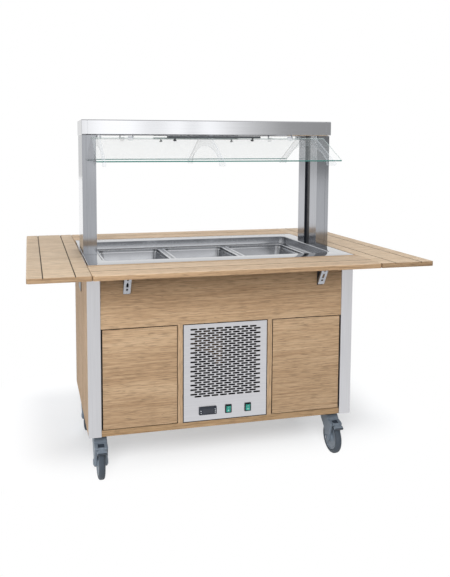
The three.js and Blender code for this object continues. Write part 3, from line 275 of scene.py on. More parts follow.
def makeFloor(s):
    half = s["floorSize"] / 2
    mesh = bpy.data.meshes.new("floor")
    corners = [(-half, -half, 0), (half, -half, 0), (half, half, 0), (-half, half, 0)]
    mesh.from_pydata(corners, [], [(0, 1, 2, 3)])
    floor = bpy.data.objects.new("floor", mesh)
    bpy.context.scene.collection.objects.link(floor)
    material = bpy.data.materials.new("whitePaintedFloor")
    material.use_nodes = True
    tree = material.node_tree
    tree.nodes.remove(tree.nodes["Principled BSDF"])
    seen, glossy = seenRay(tree)
    place = addNode(tree, "ShaderNodeTexCoord").outputs["Object"]
    # how far a point lies outside the cabinet's own footprint
    beyond = vectorOf(tree, "SUBTRACT", place, s["footprintPlace"]).outputs[0]
    beyond = vectorOf(tree, "ABSOLUTE", beyond).outputs[0]
    beyond = vectorOf(tree, "SUBTRACT", beyond, s["footprint"]).outputs[0]
    beyond = vectorOf(tree, "MAXIMUM", beyond, (0, 0, 0)).outputs[0]
    distance = vectorOf(tree, "LENGTH", beyond).outputs["Value"]
    far = rangeOf(tree, distance, 0.0, s["fadeTo"])
    farColor = mixOf(tree, glossy, greyOf(1.0), greyOf(s["floorMirror"]))
    glowColor = mixOf(tree, far, greyOf(s["nearWhite"]), farColor)
    paintColor = mixOf(tree, seen, hexColor(s["bounceColor"]), hexColor(s["floorColor"]))
    paint = addNode(tree, "ShaderNodeBsdfDiffuse", {}, {"Color": paintColor})
    glow = addNode(tree, "ShaderNodeEmission", {}, {"Color": glowColor, "Strength": 1.0})
    # less glow near the footprint: painted shade round the cabinet, on top of its real shadows
    near = s["nearShare"]
    share = mathOf(tree, "MULTIPLY", seen, mathOf(tree, "MULTIPLY_ADD", far, 1 - near, near))
    mixed = addNode(tree, "ShaderNodeMixShader", {}, {0: share, 1: paint.outputs[0], 2: glow.outputs[0]})
    tree.links.new(mixed.outputs[0], tree.nodes["Material Output"].inputs["Surface"])
    mesh.materials.append(material)


makeCamera(studio)
makeWorld(studio)
makeFloor(studio)
for lampName in ("key", "top", "back", "fill"):
    values = [studio[lampName + word] for word in ("Power", "Size", "Place", "Target")]
    makeAreaLight(f"{lampName}Light", *values)
bpy.context.scene.view_settings.view_transform = "Standard"
print("camera, floor and light made")


# ---- materials ----
def along(direction, length, width):
    size = [width, width, width]
    size["xyz".index(direction)] = length
    return size


def oiledOak(name, direction, offset=(0, 0, 0), light="d4b898", mid="bd9f7f", dark="9b7c5e"):
    # oiled light oak: long soft bands, short dark pores along the grain, a few brown flecks
    material, tree, shader = newMaterial(name, {"Roughness": 0.6, "IOR": 1.46})

    def grain(length, width, detail, roughness, distortion):
        vector = stretchedCoords(tree, along(direction, length, width), offset)
        return noiseOf(tree, vector, detail, roughness, distortion)

    bands = grain(850, 80, 2.0, 0.5, 0.25)
    streaks = grain(240, 5.0, 4.0, 0.66, 0.12)
    # real pores are a third of a millimetre wide; they are drawn wider so that they show
    pores = grain(52, 2.8, 2.0, 0.55, 0.1)
    flecks = grain(85, 10, 3.0, 0.6, 0.9)
    level = mathOf(tree, "MULTIPLY_ADD", streaks, 0.66, mathOf(tree, "MULTIPLY", bands, 0.34))
    tone = rampOf(tree, level, [(0.29, hexColor(dark)), (0.48, hexColor(mid)), (0.67, hexColor(light))])
    poreDepth = rampOf(tree, pores, [(0.34, 0.0), (0.5, 1.0)])
    fleckDepth = rampOf(tree, flecks, [(0.27, 0.45), (0.37, 1.0)])
    shaded = mixOf(tree, 0.34, tone, poreDepth, "MULTIPLY")
    plug(tree, shader, {
        "Base Color": mixOf(tree, 0.7, shaded, fleckDepth, "MULTIPLY"),
        "Roughness": rampOf(tree, pores, [(0.3, 0.74), (0.6, 0.6)]),
        "Normal": bumpOf(tree, poreDepth, 0.12),
    })
    return material


def brushedSteel(name, direction, color, dark, roughness, spread=0.03, scratch=0.004):
    # brushed stainless steel: fine parallel scratches that blur reflections along them
    material, tree, shader = newMaterial(name, {"Metallic": 1.0})
    # real scratches are finer than 0.1 mm; these are as coarse as they need to be to show
    brushing = noiseOf(tree, stretchedCoords(tree, along(direction, 220, 1.3)), 3.0, 0.6)
    cloud = evenNoise(tree, 260)
    mixed = mathOf(tree, "MULTIPLY_ADD", cloud, 0.5, mathOf(tree, "MULTIPLY", brushing, 0.5))
    shade = rampOf(tree, brushing, [(0.3, 0.0), (0.7, 1.0)])
    plug(tree, shader, {
        "Base Color": mixOf(tree, shade, hexColor(dark), hexColor(color)),
        "Roughness": rampOf(tree, mixed, [(0.35, roughness - spread), (0.65, roughness + spread)]),
        "Normal": bumpOf(tree, brushing, scratch),
    })
    return material


def drawnSteel(name, color, roughness):
    # deep-drawn stainless steel: smooth and bright, with a faint cloudiness from the press
    material, tree, shader = newMaterial(name, {"Metallic": 1.0, "Base Color": hexColor(color)})
    cloud = evenNoise(tree, 60)
    plug(tree, shader, {
        "Roughness": rampOf(tree, cloud, [(0.3, roughness * 0.9), (0.7, roughness * 1.12)]),
        "Normal": bumpOf(tree, cloud, 0.008),
    })
    return material


def zincPlatedSteel(name, dark, light):
    # zinc plating: pale grey with small crystal patches
    material, tree, shader = newMaterial(name, {"Metallic": 1.0, "Roughness": 0.36})
    vector = stretchedCoords(tree, (5, 5, 5))
    cells = addNode(tree, "ShaderNodeTexVoronoi", {}, {"Vector": vector, "Scale": 1.0})
    patches = rampOf(tree, cells.outputs["Color"], [(0.2, 0.0), (0.8, 1.0)])
    plug(tree, shader, {"Base Color": mixOf(tree, patches, hexColor(dark), hexColor(light))})
    return material


def powderCoat(name, color):
    # powder coating: an even skin with a fine orange-peel texture
    material, tree, shader = newMaterial(name, {"Base Color": hexColor(color), "IOR": 1.5})
    peel = evenNoise(tree, 1.4)
    plug(tree, shader, {
        "Roughness": rampOf(tree, peel, [(0.3, 0.42), (0.7, 0.56)]),
        "Normal": bumpOf(tree, peel, 0.05),
    })
    return material


def mouldedPlastic(name, color, lighter, roughness, grit=0.9):
    # moulded plastic: eroded mould texture with slightly worn, lighter patches
    material, tree, shader = newMaterial(name, {"IOR": 1.5})
    wear = evenNoise(tree, 28, 4.0, 0.6)
    worn = rampOf(tree, wear, [(0.4, 0.0), (0.75, 1.0)])
    plug(tree, shader, {
        "Base Color": mixOf(tree, worn, hexColor(color), hexColor(lighter)),
        "Roughness": rampOf(tree, wear, [(0.3, roughness - 0.06), (0.7, roughness + 0.08)]),
        "Normal": bumpOf(tree, evenNoise(tree, grit), 0.03),
    })
    return material


def clearSheet(name, color, ior, opacity, roughness=0.03):
    # clear polished sheet: it hides little of what is behind it and shows the room in its face
    material, tree, shader = newMaterial(name, {
        "Base Color": hexColor(color), "IOR": ior, "Alpha": opacity,
    })
    smears = evenNoise(tree, 60, 3.0, 0.6)
    plug(tree, shader, {"Roughness": rampOf(tree, smears, [(0.4, roughness), (0.75, roughness + 0.05)])})
    return material


oakFront = oiledOak("oiledOakFront", "x")
oakLeftDoor = oiledOak("oiledOakLeftDoor", "x", (3.7, 0, 9.1))
oakRightDoor = oiledOak("oiledOakRightDoor", "x", (8.3, 0, 4.4))
oakBase = oiledOak("oiledOakBase", "x", (1.9, 0, 17.3), "c4a684", "ad8e6b", "8c6c4c")
oakUpright = oiledOak("oiledOakUpright", "z", (4.1, 2.2, 0))
oakSide = oiledOak("oiledOakSide", "z")
oakTop = oiledOak("oiledOakTop", "x", (5.1, 3.3, 0), "e3cdb2", "d2b799", "af9173")
oakLeaf = oiledOak("oiledOakLeaf", "x", (11.2, 6.8, 0), "e3d0b8", "d5bda1", "b79e80")
oakEdgePaintedShade = oiledOak("oiledOakEdgePaintedShade", "x", (2.3, 9.8, 0), "bb9f80", "a3876a", "735940")
oakShelfEdgePaintedShade = oiledOak("oiledOakShelfEdgePaintedShade", "x", (2.3, 9.8, 0), "cfb08e", "b49575", "7f6348")
# near-black oak for the doors' edges: painted shade in the gaps
oakDoorEdgePaintedShade = oiledOak("oiledOakDoorEdgePaintedShade", "x", (0, 0, 0), "1c1611", "16110d", "100c09")
# dark oak for the grooves' faces: painted shade
oakGroovePaintedShade = oiledOak("oiledOakGroovePaintedShade", "x", (0, 0, 0), "4a3828", "3c2c1f", "2c2017")
steelPost = brushedSteel("brushedStainlessPost", "z", "cbcbce", "bebec1", 0.45)
steelGrille = brushedSteel("brushedStainlessGrille", "x", "c9c9cc", "bdbdc1", 0.42)
steelCanopy = brushedSteel("brushedStainlessCanopy", "x", "d3d4d7", "cccdd0", 0.07, 0.02, 0.001)
steelWorktop = brushedSteel("brushedStainlessWorktop", "x", "d4d6d9", "cbcdd0", 0.11, 0.02, 0.001)
steelPillarFrontPaintedShade = brushedSteel("polishedStainlessPillarFrontPaintedShade", "z", "9c9ea2", "909297", 0.11, 0.02, 0.002)
steelPillarSide = brushedSteel("polishedStainlessPillarSide", "z", "a9abaf", "98999e", 0.15, 0.02, 0.002)
steelHandle = brushedSteel("groundStainlessHandle", "x", "64696d", "565a5f", 0.3)
panSteel = drawnSteel("drawnStainlessPan", "b6b8bc", 0.24)
rimSteelPaintedHighlight = drawnSteel("drawnStainlessRimPaintedHighlight", "dcdee1", 0.2)
wellSteel = drawnSteel("drawnStainlessWell", "b4b6ba", 0.22)
bandSteelPaintedShade = drawnSteel("drawnStainlessBandPaintedShade", "85878b", 0.26)
screwSteel = drawnSteel("turnedStainlessScrew", "c2c4c8", 0.22)
zinc = zincPlatedSteel("zincPlatedSteel", "96999f", "aeb1b7")
# a near-black copy of the zinc for faces that sit in shade: painted shade
zincPaintedShade = zincPlatedSteel("zincPlatedSteelPaintedShade", "33353a", "3d4045")
frameCoat = powderCoat("powderCoatedSteelGrey", "2c3640")
blackCoat = powderCoat("powderCoatedSteelBlack", "1b1d20")
# near-black fins and housing, seen only through the grille: painted shade
finMetalPaintedShade = powderCoat("aluminiumFinsPaintedShade", "101114")
paneGlass = clearSheet("floatGlass", "e4eced", 1.52, 0.08)
paneEdge = clearSheet("floatGlassGroundEdge", "3f8580", 1.52, 1.0, 0.2)
paneSideEdge = clearSheet("floatGlassPolishedEdge", "c3d6d6", 1.52, 0.5, 0.1)
acrylic = clearSheet("castAcrylic", "c9d1dc", 1.49, 0.1)
acrylicEdge = clearSheet("castAcrylicPolishedEdge", "dfe4ec", 1.49, 0.3, 0.15)
opal = mouldedPlastic("opalPolycarbonate", "eef0f0", "f6f7f7", 0.35)
castorGrey = mouldedPlastic("greyNylonCastor", "75808c", "85909c", 0.42)
castorDark = mouldedPlastic("darkNylonCastor", "363e48", "404852", 0.45)
treadGrey = mouldedPlastic("greyRubberTread", "434b54", "4d555e", 0.62, 1.6)
blackAbs = mouldedPlastic("blackAbs", "171b21", "20252c", 0.36)
navyPolycarbonate = mouldedPlastic("navyPolycarbonateWindow", "272c37", "2e3440", 0.2)
navyAbs = mouldedPlastic("navyAbsBezel", "171d29", "1f2634", 0.36)
rockerGreen = mouldedPlastic("greenPolycarbonateRocker", "279a8a", "3aae9e", 0.25)
whitePrint = mouldedPlastic("whitePadPrint", "dfe6ee", "eef2f6", 0.4)
print("materials made")


# ---- mesh tools ----
weldDistance = 1e-6  # metres
flatWithin = 0.3  # degrees: faces that differ by less are one flat face
xToY = Matrix.Rotation(math.radians(90), 4, "Z")


def newPiece(name, verts, faces, materials):
    mesh = bpy.data.meshes.new(name)
    mesh.from_pydata([tuple(v) for v in verts], [], faces)
    for material in materials:
        mesh.materials.append(material)
    obj = bpy.data.objects.new(name, mesh)
    bpy.context.scene.collection.objects.link(obj)
    return obj


def settle(obj):
    # the modifiers' result becomes the object's own plain mesh
    depsgraph = bpy.context.evaluated_depsgraph_get()
    result = bpy.data.meshes.new_from_object(obj.evaluated_get(depsgraph), depsgraph=depsgraph)
    obj.modifiers.clear()
    result.name = obj.name
    obj.data = result
    return obj


def tidyNormals(obj):
    work = bmesh.new()
    work.from_mesh(obj.data)
    bmesh.ops.remove_doubles(work, verts=work.verts, dist=weldDistance)
    bmesh.ops.recalc_face_normals(work, faces=work.faces)
    work.to_mesh(obj.data)
    work.free()


def bevelled(obj, width, segments=2, angle=30):
    bevel = obj.modifiers.new("edges", "BEVEL")
    bevel.width = width * mm
    bevel.segments = segments
    bevel.limit_method = "ANGLE"
    bevel.angle_limit = math.radians(angle)
    # large faces keep flat normals, so that they mirror the room without waves
    flatten = obj.modifiers.new("flatFaces", "WEIGHTED_NORMAL")
    flatten.weight = 100
    obj.data.polygons.foreach_set("use_smooth", [True] * len(obj.data.polygons))
    return settle(obj)


def smoothed(obj, angle):
    obj.data.polygons.foreach_set("use_smooth", [True] * len(obj.data.polygons))
    obj.data.set_sharp_from_angle(angle=math.radians(angle))
    return obj


def carve(obj, cutter):
    # cuts one temporary solid out of another piece
    boolean = obj.modifiers.new("cut", "BOOLEAN")
    boolean.operation = "DIFFERENCE"
    boolean.solver = "EXACT"
    boolean.object = cutter
    settle(obj)
    bpy.data.objects.remove(cutter)


def rematerial(obj, materials):
    obj.data.materials.clear()
    for material in materials:
        obj.data.materials.append(material)


def finish(obj, body, replaced=()):
    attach(obj, body)
    if replaced:
        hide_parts(*replaced)
    return obj


def paint(obj, rule):
    # rule takes a face's middle, in millimetres, and its normal, and gives a material's number
    for face in obj.data.polygons:
        face.material_index = rule(face.center / mm, face.normal)
    return obj


def copyOf(node, name, materials):
    # a copy of a node's solid, welded and with its flat faces made whole
    obj = newPiece(name, [], [], materials)
    work = bmesh.new()
    work.from_mesh(nodes[node].data)
    bmesh.ops.remove_doubles(work, verts=work.verts, dist=weldDistance)
    limit = math.radians(flatWithin)
    bmesh.ops.dissolve_limit(work, angle_limit=limit, verts=work.verts, edges=work.edges)
    for face in work.faces:
        face.material_index = 0
    work.to_mesh(obj.data)
    work.free()
    return obj


def dressed(node, materials, bevel=0.8, segments=2, rule=None):
    # the node's solid with its edges broken, in its real finish
    obj = copyOf(node, f"{node}_finished", materials)
    if rule:
        paint(obj, rule)
    bevelled(obj, bevel, segments)
    return finish(obj, nodes[node]["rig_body"], [node])


def roundedRing(halfX, halfY, radius, z, steps=8):
    ring = []
    for quarter, (sx, sy) in enumerate([(1, 1), (-1, 1), (-1, -1), (1, -1)]):
        for k in range(steps + 1):
            turn = math.radians(90) * (quarter + k / steps)
            x = sx * (halfX - radius) + radius * math.cos(turn)
            y = sy * (halfY - radius) + radius * math.sin(turn)
            ring.append(Vector((x, y, z)))
    return ring


def loftRings(rings, closed=False):
    count = len(rings[0])
    verts = [p * mm for ring in rings for p in ring]
    faces = []
    pairs = [(r, r + 1) for r in range(len(rings) - 1)]
    if closed:
        pairs.append((len(rings) - 1, 0))
    for a, b in pairs:
        for k in range(count):
            n = (k + 1) % count
            faces.append((a * count + k, a * count + n, b * count + n, b * count + k))
    if not closed:
        faces.append(tuple(range(count)))
        faces.append(tuple(range((len(rings) - 1) * count, len(rings) * count)))
    return verts, faces


def ringPiece(name, rings, materials, closed=False, angle=40):
    obj = newPiece(name, *loftRings(rings, closed), materials)
    tidyNormals(obj)
    return smoothed(obj, angle)


def quarterTurn(steps):
    # a rounded edge, as (1 - sine, 1 - cosine) shares of its radius
    turns = [math.radians(90) * k / steps for k in range(steps + 1)]
    return [(1 - math.sin(turn), 1 - math.cos(turn)) for turn in turns]


def turnedRings(profile, place, sides):
    # rings about the X axis through (along, radius) points, set in place by a matrix
    turns = [2 * math.pi * k / sides for k in range(sides)]
    return [[place @ Vector((reach, radius * math.cos(t), radius * math.sin(t))) for t in turns]
            for reach, radius in profile]


def turnedPart(profile, place, sides, number=0):
    return (*loftRings(turnedRings(profile, place, sides)), number)


def rodAcross(place, half, radius, sides, number=0):
    # a rod along the X axis of a place, with its middle there
    return turnedPart([(-half, radius), (half, radius)], place, sides, number)


def rodPart(start, end, radius, sides=20, rounding=0.3):
    # a straight rod between two points, with rounded ends
    axis = Vector(end) - Vector(start)
    place = Matrix.Translation(start) @ axis.to_track_quat("X", "Z").to_matrix().to_4x4()
    edge = radius * rounding
    nearEnd = [(edge * back, radius - edge * up) for back, up in reversed(quarterTurn(3))]
    farEnd = [(axis.length - reach, r) for reach, r in reversed(nearEnd)]
    return turnedPart(nearEnd + farEnd, place, sides)


def joined(name, parts, materials):
    # several (verts, faces, materialNumber) sets as one mesh
    verts, faces, numbers = [], [], []
    for partVerts, partFaces, number in parts:
        start = len(verts)
        verts += partVerts
        faces += [tuple(i + start for i in face) for face in partFaces]
        numbers += [number] * len(partFaces)
    obj = newPiece(name, verts, faces, materials)
    obj.data.polygons.foreach_set("material_index", numbers)
    tidyNormals(obj)
    return obj


def boxPart(x0, x1, y0, y1, z0, z1, number=0, place=Matrix()):
    corners = [(x, y, z) for z in (z0, z1) for x, y in ((x0, y0), (x1, y0), (x1, y1), (x0, y1))]
    verts = [(place @ Vector(corner)) * mm for corner in corners]
    faces = [(3, 2, 1, 0), (4, 5, 6, 7), (0, 1, 5, 4), (1, 2, 6, 5), (2, 3, 7, 6), (3, 0, 4, 7)]
    return verts, faces, number


def platePart(half, radius, y0, y1, edge, middle, number=0):
    # a plate with round corners that stands up, its front edge at y0 rounded off
    part, leastRound = edge * 0.3, 0.3
    rings = []
    for inset, y in [(edge, y0), (part, y0 + part), (0, y0 + edge), (0, y1)]:
        flat = roundedRing(half[0] - inset, half[1] - inset, max(radius - inset, leastRound), 0, 5)
        rings.append([Vector((middle[0] + p.x, y, middle[1] + p.y)) for p in flat])
    return (*loftRings(rings), number)


def boxOf(node):
    low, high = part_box(node)
    return low / mm, high / mm


def anchorOf(joint):
    return Vector(joints[joint]["pos_m"]) / mm


# ---- geometry trees ----
def newTree(name, sizes):
    # a geometry tree with one named input for each size
    tree = bpy.data.node_groups.new(name, "GeometryNodeTree")
    sockets = tree.interface
    sockets.new_socket("Geometry", in_out="INPUT", socket_type="NodeSocketGeometry")
    sockets.new_socket("Geometry", in_out="OUTPUT", socket_type="NodeSocketGeometry")
    for label, kind in sizes.items():
        sockets.new_socket(label, in_out="INPUT", socket_type=f"NodeSocket{kind}")
    return tree, addNode(tree, "NodeGroupInput").outputs


def endTree(tree, geometry, material):
    whole = addNode(tree, "GeometryNodeRealizeInstances", {}, {"Geometry": geometry})
    dressedUp = addNode(tree, "GeometryNodeSetMaterial", {}, {
        "Geometry": whole.outputs[0], "Material": material,
    })
    addNode(tree, "NodeGroupOutput", {}, {"Geometry": dressedUp.outputs[0]})
    return tree


def grown(obj, tree, values):
    modifier = obj.modifiers.new(tree.name, "NODES")
    modifier.node_group = tree
    for item in tree.interface.items_tree:
        if item.in_out == "INPUT" and item.name in values:
            modifier[item.identifier] = values[item.name]
    return settle(obj)


def slottedSheetTree():
    # outlines from the object's own edges, rows of round-ended slots, all punched out of one sheet
    tree, sizes = newTree("slottedSheet", {
        "Thickness": "Float", "Slot Length": "Float", "Slot Height": "Float", "Slot Round": "Float",
        "Pitch Across": "Float", "Pitch Down": "Float", "Columns": "Int", "Rows": "Int",
        "Field Middle": "Vector", "Material": "Material",
    })
    outlines = addNode(tree, "GeometryNodeMeshToCurve", {}, {"Mesh": sizes["Geometry"]})
    slot = addNode(tree, "GeometryNodeCurvePrimitiveQuadrilateral", {}, {
        "Width": sizes["Slot Length"], "Height": sizes["Slot Height"],
    })
    slot = addNode(tree, "GeometryNodeFilletCurve", {"mode": "POLY"}, {
        "Curve": slot.outputs[0], "Count": 3, "Radius": sizes["Slot Round"],
    })
    stepsAcross = mathOf(tree, "SUBTRACT", sizes["Columns"], 1)
    stepsDown = mathOf(tree, "SUBTRACT", sizes["Rows"], 1)
    spanAcross = mathOf(tree, "MULTIPLY", stepsAcross, sizes["Pitch Across"])
    spanDown = mathOf(tree, "MULTIPLY", stepsDown, sizes["Pitch Down"])
    grid = addNode(tree, "GeometryNodeMeshGrid", {}, {
        "Size X": spanAcross, "Size Y": spanDown,
        "Vertices X": sizes["Columns"], "Vertices Y": sizes["Rows"],
    })
    # every second row, counted from the top, is shifted by half a pitch
    index = addNode(tree, "GeometryNodeInputIndex").outputs[0]
    row = mathOf(tree, "MODULO", index, sizes["Rows"])
    odd = mathOf(tree, "MODULO", mathOf(tree, "SUBTRACT", stepsDown, row), 2)
    halfPitch = mathOf(tree, "MULTIPLY", sizes["Pitch Across"], 0.5)
    shift = mathOf(tree, "MULTIPLY", mathOf(tree, "SUBTRACT", odd, 0.5), halfPitch)
    offset = addNode(tree, "ShaderNodeCombineXYZ", {}, {"X": shift})
    offset = vectorOf(tree, "ADD", offset.outputs[0], sizes["Field Middle"])
    places = addNode(tree, "GeometryNodeSetPosition", {}, {
        "Geometry": grid.outputs["Mesh"], "Offset": offset.outputs[0],
    })
    slots = addNode(tree, "GeometryNodeInstanceOnPoints", {}, {
        "Points": places.outputs[0], "Instance": slot.outputs[0],
    })
    slots = addNode(tree, "GeometryNodeRealizeInstances", {}, {"Geometry": slots.outputs[0]})
    loops = addNode(tree, "GeometryNodeJoinGeometry", {}, {0: [outlines.outputs[0], slots.outputs[0]]})
    back = addNode(tree, "GeometryNodeFillCurve", {"mode": "TRIANGLES"}, {"Curve": loops.outputs[0]})
    front = addNode(tree, "GeometryNodeExtrudeMesh", {"mode": "FACES"}, {
        "Mesh": back.outputs[0], "Offset Scale": sizes["Thickness"], "Individual": False,
    })
    turned = addNode(tree, "GeometryNodeFlipFaces", {}, {0: back.outputs[0]})
    sheet = addNode(tree, "GeometryNodeJoinGeometry", {}, {0: [turned.outputs[0], front.outputs[0]]})
    sheet = addNode(tree, "GeometryNodeMergeByDistance", {}, {
        "Geometry": sheet.outputs[0], "Distance": weldDistance,
    })
    return endTree(tree, sheet.outputs[0], sizes["Material"])


headShape = {"segments": 20, "rings": 12, "recessSides": 6, "recessShare": 0.45}


def screwTree(s):
    # a button head with a six-sided recess on every point, turned to face the point's own way
    tree, sizes = newTree("screwHeads", {"Radius": "Float", "Height": "Float", "Material": "Material"})
    ball = addNode(tree, "GeometryNodeMeshUVSphere", {}, {
        "Segments": s["segments"], "Rings": s["rings"], "Radius": 1.0,
    })
    position = addNode(tree, "GeometryNodeInputPosition").outputs[0]
    parts = addNode(tree, "ShaderNodeSeparateXYZ", {}, {0: position})
    upper = mathOf(tree, "MAXIMUM", parts.outputs["Z"], 0.0)
    place = addNode(tree, "ShaderNodeCombineXYZ", {}, {
        "X": mathOf(tree, "MULTIPLY", parts.outputs["X"], sizes["Radius"]),
        "Y": mathOf(tree, "MULTIPLY", parts.outputs["Y"], sizes["Radius"]),
        "Z": mathOf(tree, "MULTIPLY", upper, sizes["Height"]),
    })
    dome = addNode(tree, "GeometryNodeSetPosition", {}, {
        "Geometry": ball.outputs[0], "Position": place.outputs[0],
    })
    recess = addNode(tree, "GeometryNodeMeshCylinder", {}, {
        "Vertices": s["recessSides"], "Radius": mathOf(tree, "MULTIPLY", sizes["Radius"], s["recessShare"]),
        "Depth": sizes["Height"],
    })
    lift = addNode(tree, "ShaderNodeCombineXYZ", {}, {"Z": sizes["Height"]})
    recess = addNode(tree, "GeometryNodeTransform", {}, {
        "Geometry": recess.outputs["Mesh"], "Translation": lift.outputs[0],
    })
    head = addNode(tree, "GeometryNodeMeshBoolean", {"operation": "DIFFERENCE", "solver": "EXACT"}, {
        "Mesh 1": dome.outputs[0], "Mesh 2": recess.outputs[0],
    })
    attribute = {"data_type": "FLOAT_VECTOR"}
    facing = addNode(tree, "GeometryNodeInputNamedAttribute", attribute, {"Name": "facing"}).outputs[0]
    turn = addNode(tree, "FunctionNodeAlignRotationToVector", {"axis": "Z"}, {"Vector": facing})
    heads = addNode(tree, "GeometryNodeInstanceOnPoints", {}, {
        "Points": sizes["Geometry"], "Instance": head.outputs[0], "Rotation": turn.outputs[0],
    })
    return endTree(tree, heads.outputs[0], sizes["Material"])


def finTree():
    # thin upright plates side by side
    tree, sizes = newTree("finPack", {
        "Count": "Int", "First Place": "Vector", "Step": "Vector", "Fin Size": "Vector",
        "Material": "Material",
    })
    line = addNode(tree, "GeometryNodeMeshLine", {"mode": "OFFSET"}, {
        "Count": sizes["Count"], "Start Location": sizes["First Place"], "Offset": sizes["Step"],
    })
    fin = addNode(tree, "GeometryNodeMeshCube", {}, {"Size": sizes["Fin Size"]})
    fins = addNode(tree, "GeometryNodeInstanceOnPoints", {}, {
        "Points": line.outputs[0], "Instance": fin.outputs["Mesh"],
    })
    return endTree(tree, fins.outputs[0], sizes["Material"])


sheetTree = slottedSheetTree()
headTree = screwTree(headShape)
platesTree = finTree()


def screws(name, places, facing, body, slotName, radius=3.4, height=1.6, material=screwSteel):
    obj = newPiece(name, [Vector(p) * mm for p in places], [], [])
    ways = obj.data.attributes.new("facing", "FLOAT_VECTOR", "POINT")
    ways.data.foreach_set("vector", list(facing) * len(places))
    grown(obj, headTree, {"Radius": radius * mm, "Height": height * mm, "Material": material})
    finish(smoothed(obj, 40), body)


print("tools ready")


# ---- cabinet ----
cornerNames = ("front_left", "front_right", "rear_left", "rear_right")
plateBottom, plateTop = (corner.z for corner in boxOf("top_plate"))
boardFace = abs(boxOf("left_door")[0].y)
sideFace = abs(boxOf("front_left_post")[0].x)
bayHalf = boxOf("right_divider")[0].x
hair = 0.1  # millimetres, within which a face counts as lying in a plane
square = 0.99  # how far a normal has to point along an axis for a face to be square to it


def makePost(corner, s):
    low, high = boxOf(f"{corner}_post")
    middle, half = (low + high) / 2, (high - low) / 2
    rings = []
    for inset, z in [(0, low.z), (0, high.z), (s["wall"], high.z), (s["wall"], low.z)]:
        ring = roundedRing(half.x - inset, half.y - inset, s["round"] - inset, z)
        rings.append([p + Vector((middle.x, middle.y, 0)) for p in ring])
    obj = ringPiece(f"{corner}_post_tube", rings, [steelPost], closed=True)
    finish(obj, "cabinet", [f"{corner}_post"])


post = {"wall": 2, "round": 4}
for corner in cornerNames:
    makePost(corner, post)
dressed("floor_panel", [oakBase], bevel=1.0)
for side in ("left", "right"):
    # the machine bay is lined in black, which also serves as painted shade seen through the grille
    dressed(f"{side}_divider", [oakUpright, blackCoat], bevel=0.7,
            rule=lambda place, normal: 1 if abs(place.x) < bayHalf + 2 * hair else 0)
for side, wood in (("left", oakLeftDoor), ("right", oakRightDoor)):
    # the boards' broken edges are painted near-black as painted shade, so that the gaps read as dark lines
    door = dressed(f"{side}_door", [wood, oakDoorEdgePaintedShade], bevel=1.2)
    paint(door, lambda place, normal: 0 if abs(normal.y) > square else 1)
dressed("base_frame", [frameCoat], bevel=1.0)
for side in ("left", "right"):
    # hinges and the stay's guide plate stand proud of the panel and are metal, painted in the dark zinc as
    # painted shade
    dressed(f"{side}_side_panel", [oakSide, zincPaintedShade], bevel=0.6,
            rule=lambda place, normal: 1 if abs(place.x) > sideFace + 2 * hair else 0)

stayX = anchorOf("front_right_stay_pivot").x
bracket = {
    "halfWidth": 18, "behind": 390, "under": 0.4, "earDrop": 7.1, "plateFace": 2, "screwDrops": (32, 84),
}
bumper = {"aside": 33, "drop": 14, "radius": 4, "height": 3}


# parts standing proud of the board under the top plate, and the bracket plates, take the dark zinc: painted
# shade, so the stays' slots look dark
def fasciaRule(place, normal):
    if place.z < plateBottom - bracket["earDrop"] and abs(place.y) > boardFace + hair:
        return 1
    nearBracket = abs(abs(place.x) - stayX) < bracket["halfWidth"]
    inside = place.z < plateBottom - bracket["under"] and abs(place.y) > bracket["behind"]
    return 1 if nearBracket and inside else 0


for node in ("front_fascia", "rear_panel"):
    dressed(node, [oakFront, zincPaintedShade], bevel=0.5, rule=fasciaRule)
for side, sign in (("front", -1), ("rear", 1)):
    face = sign * (boardFace + bracket["plateFace"])
    places = [(x, face, plateBottom - drop) for x in (-stayX, stayX) for drop in bracket["screwDrops"]]
    screws(f"{side}_bracket_screws", places, (0, sign, 0), "cabinet", "zinc_steel")
    # a small clear bumper stops the folded shelf beside each bracket
    low = plateBottom - bumper["drop"]
    places = [(x + bumper["aside"], sign * boardFace, low) for x in (-stayX, stayX)]
    screws(f"{side}_shelf_bumpers", places, (0, sign, 0), "cabinet", "clear_acrylic",
           bumper["radius"], bumper["height"], acrylicEdge)
print("cabinet dressed")


# ---- worktop, well and pans ----
def makeTopPlate(s):
    low, high = boxOf("top_plate")
    t = s["sheet"]
    under = high.z - t - s["foldDrop"]

    def outer(inset, z):
        return roundedRing(high.x - inset, high.y - inset, s["cornerRound"], z)

    def inner(grow, z):
        return roundedRing(s["wellX"] + grow, s["wellY"] + grow, s["wellRound"] + grow, z)

    rings = [outer(t, low.z), outer(0, low.z)]
    rings += [outer(s["edgeRound"] * up, high.z - s["edgeRound"] * back) for back, up in quarterTurn(3)]
    rings += [inner(s["lipRound"] * back, high.z - s["lipRound"] * up) for back, up in quarterTurn(5)]
    rings += [inner(0, low.z), inner(t, low.z), inner(t + s["foldIn"], under), outer(t, under)]
    obj = ringPiece("worktop_plate", rings, [steelWorktop], closed=True)
    finish(obj, "cabinet", ["top_plate"])


topPlate = {
    "sheet": 3, "cornerRound": 5, "edgeRound": 1.5, "lipRound": 5, "foldIn": 4, "foldDrop": 2,
    "wellX": 524, "wellY": 283, "wellRound": 30,
}
makeTopPlate(topPlate)


